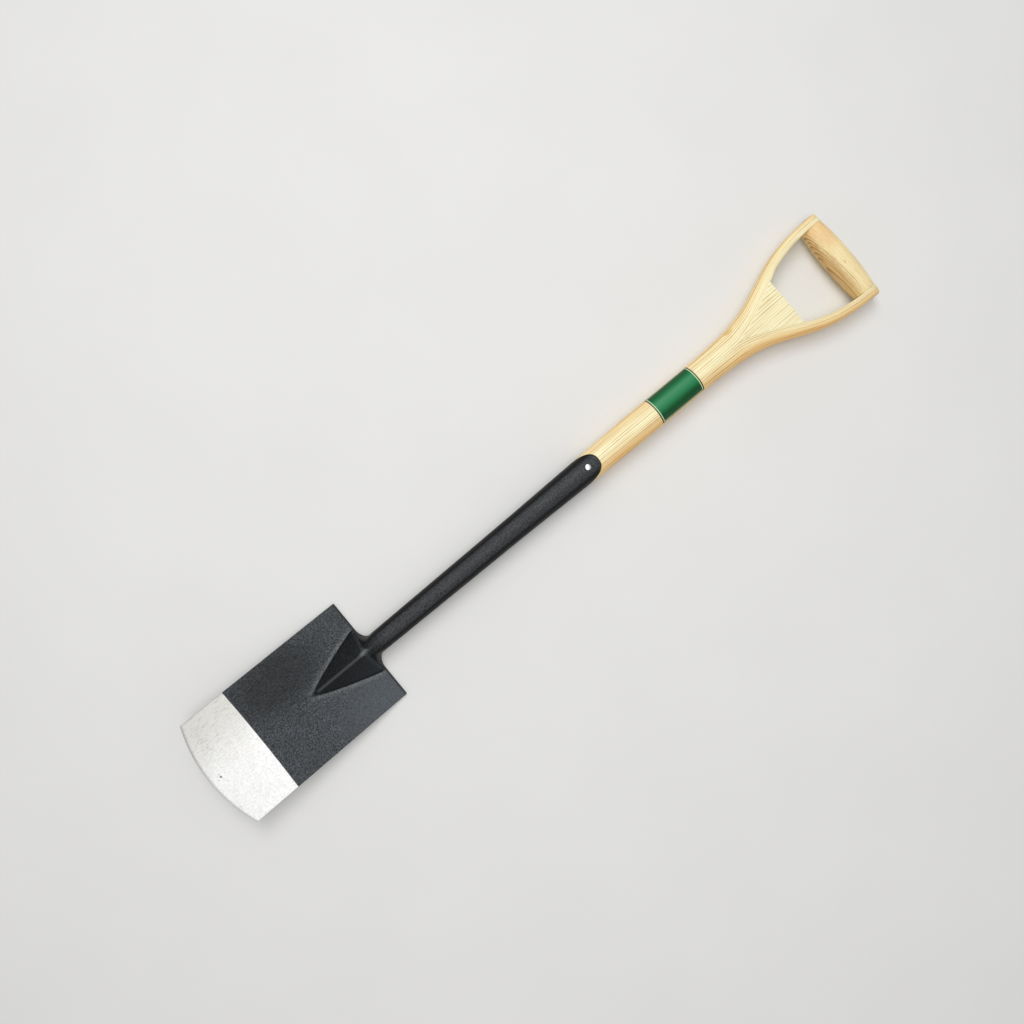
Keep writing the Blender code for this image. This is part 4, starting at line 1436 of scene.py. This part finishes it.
FLOOR_TONES = linear(226, 225, 222), linear(232, 231, 229)
FLOOR_REACH = 4.0
LIGHT_AIM = Vector((-0.02, 0.0, 0.0))
ROOM_TONE = linear(244, 245, 247)
ROOM_BRIGHTNESS = 0.45
CAMERA_LENS = 27.035
CAMERA_SENSOR = 36.0
CAMERA_PLACE = (-0.051893, -0.003197, 0.951525)
CAMERA_TURN = (2.058, -0.507, -39.695)


def make_floor():
    bm = bmesh.new()
    bmesh.ops.create_grid(bm, x_segments=1, y_segments=1, size=FLOOR_REACH)
    floor = welded_shape(bm, "pale_floor")
    finish, tree, shader = new_finish("floor_paint", Roughness=0.85)
    tone = noise(put_first(tree, "TexCoord").outputs["Object"], 6.0, 3.0)
    join(shader, {"Base Color": blended(tone, *FLOOR_TONES)})
    floor.data.materials.append(finish)


def add_softbox(name, place, size, watts):
    lamp = bpy.data.lights.new(name, "AREA")
    lamp.shape = "RECTANGLE"
    lamp.size, lamp.size_y = size
    lamp.energy = watts
    box = new_object(name, lamp)
    box.location = place
    box.rotation_euler = (LIGHT_AIM - Vector(place)).to_track_quat("-Z", "Y").to_euler()


def light_the_room():
    world = bpy.data.worlds.new("studio")
    bpy.context.scene.world = world
    world.use_nodes = True
    background = world.node_tree.nodes["Background"].inputs
    join(background, {"Color": ROOM_TONE, "Strength": ROOM_BRIGHTNESS})
    add_softbox("key_softbox", (0.55, 1.30, 2.10), size=(1.2, 1.0), watts=17.0)
    add_softbox("top_softbox", (-0.10, 0.05, 2.20), size=(2.0, 1.2), watts=22.0)


def aim_camera():
    """The photograph's own view: from above, a little tilted, with the spade across it."""
    camera = new_object("camera", bpy.data.cameras.new("camera"))
    camera.data.sensor_width = CAMERA_SENSOR
    camera.data.lens = CAMERA_LENS
    camera.location = CAMERA_PLACE
    camera.rotation_euler = [radians(turn) for turn in CAMERA_TURN]
    bpy.context.scene.camera = camera


aim_camera()
make_head()
make_shaft()
make_wedge()
make_grip()
make_rod()
make_washer("washer_left", "rod_washer_left", 1)
make_washer("washer_right", "rod_washer_right", -1)
make_rivet()
make_label()
make_floor()
light_the_room()
bpy.context.scene.view_settings.view_transform = "Standard"
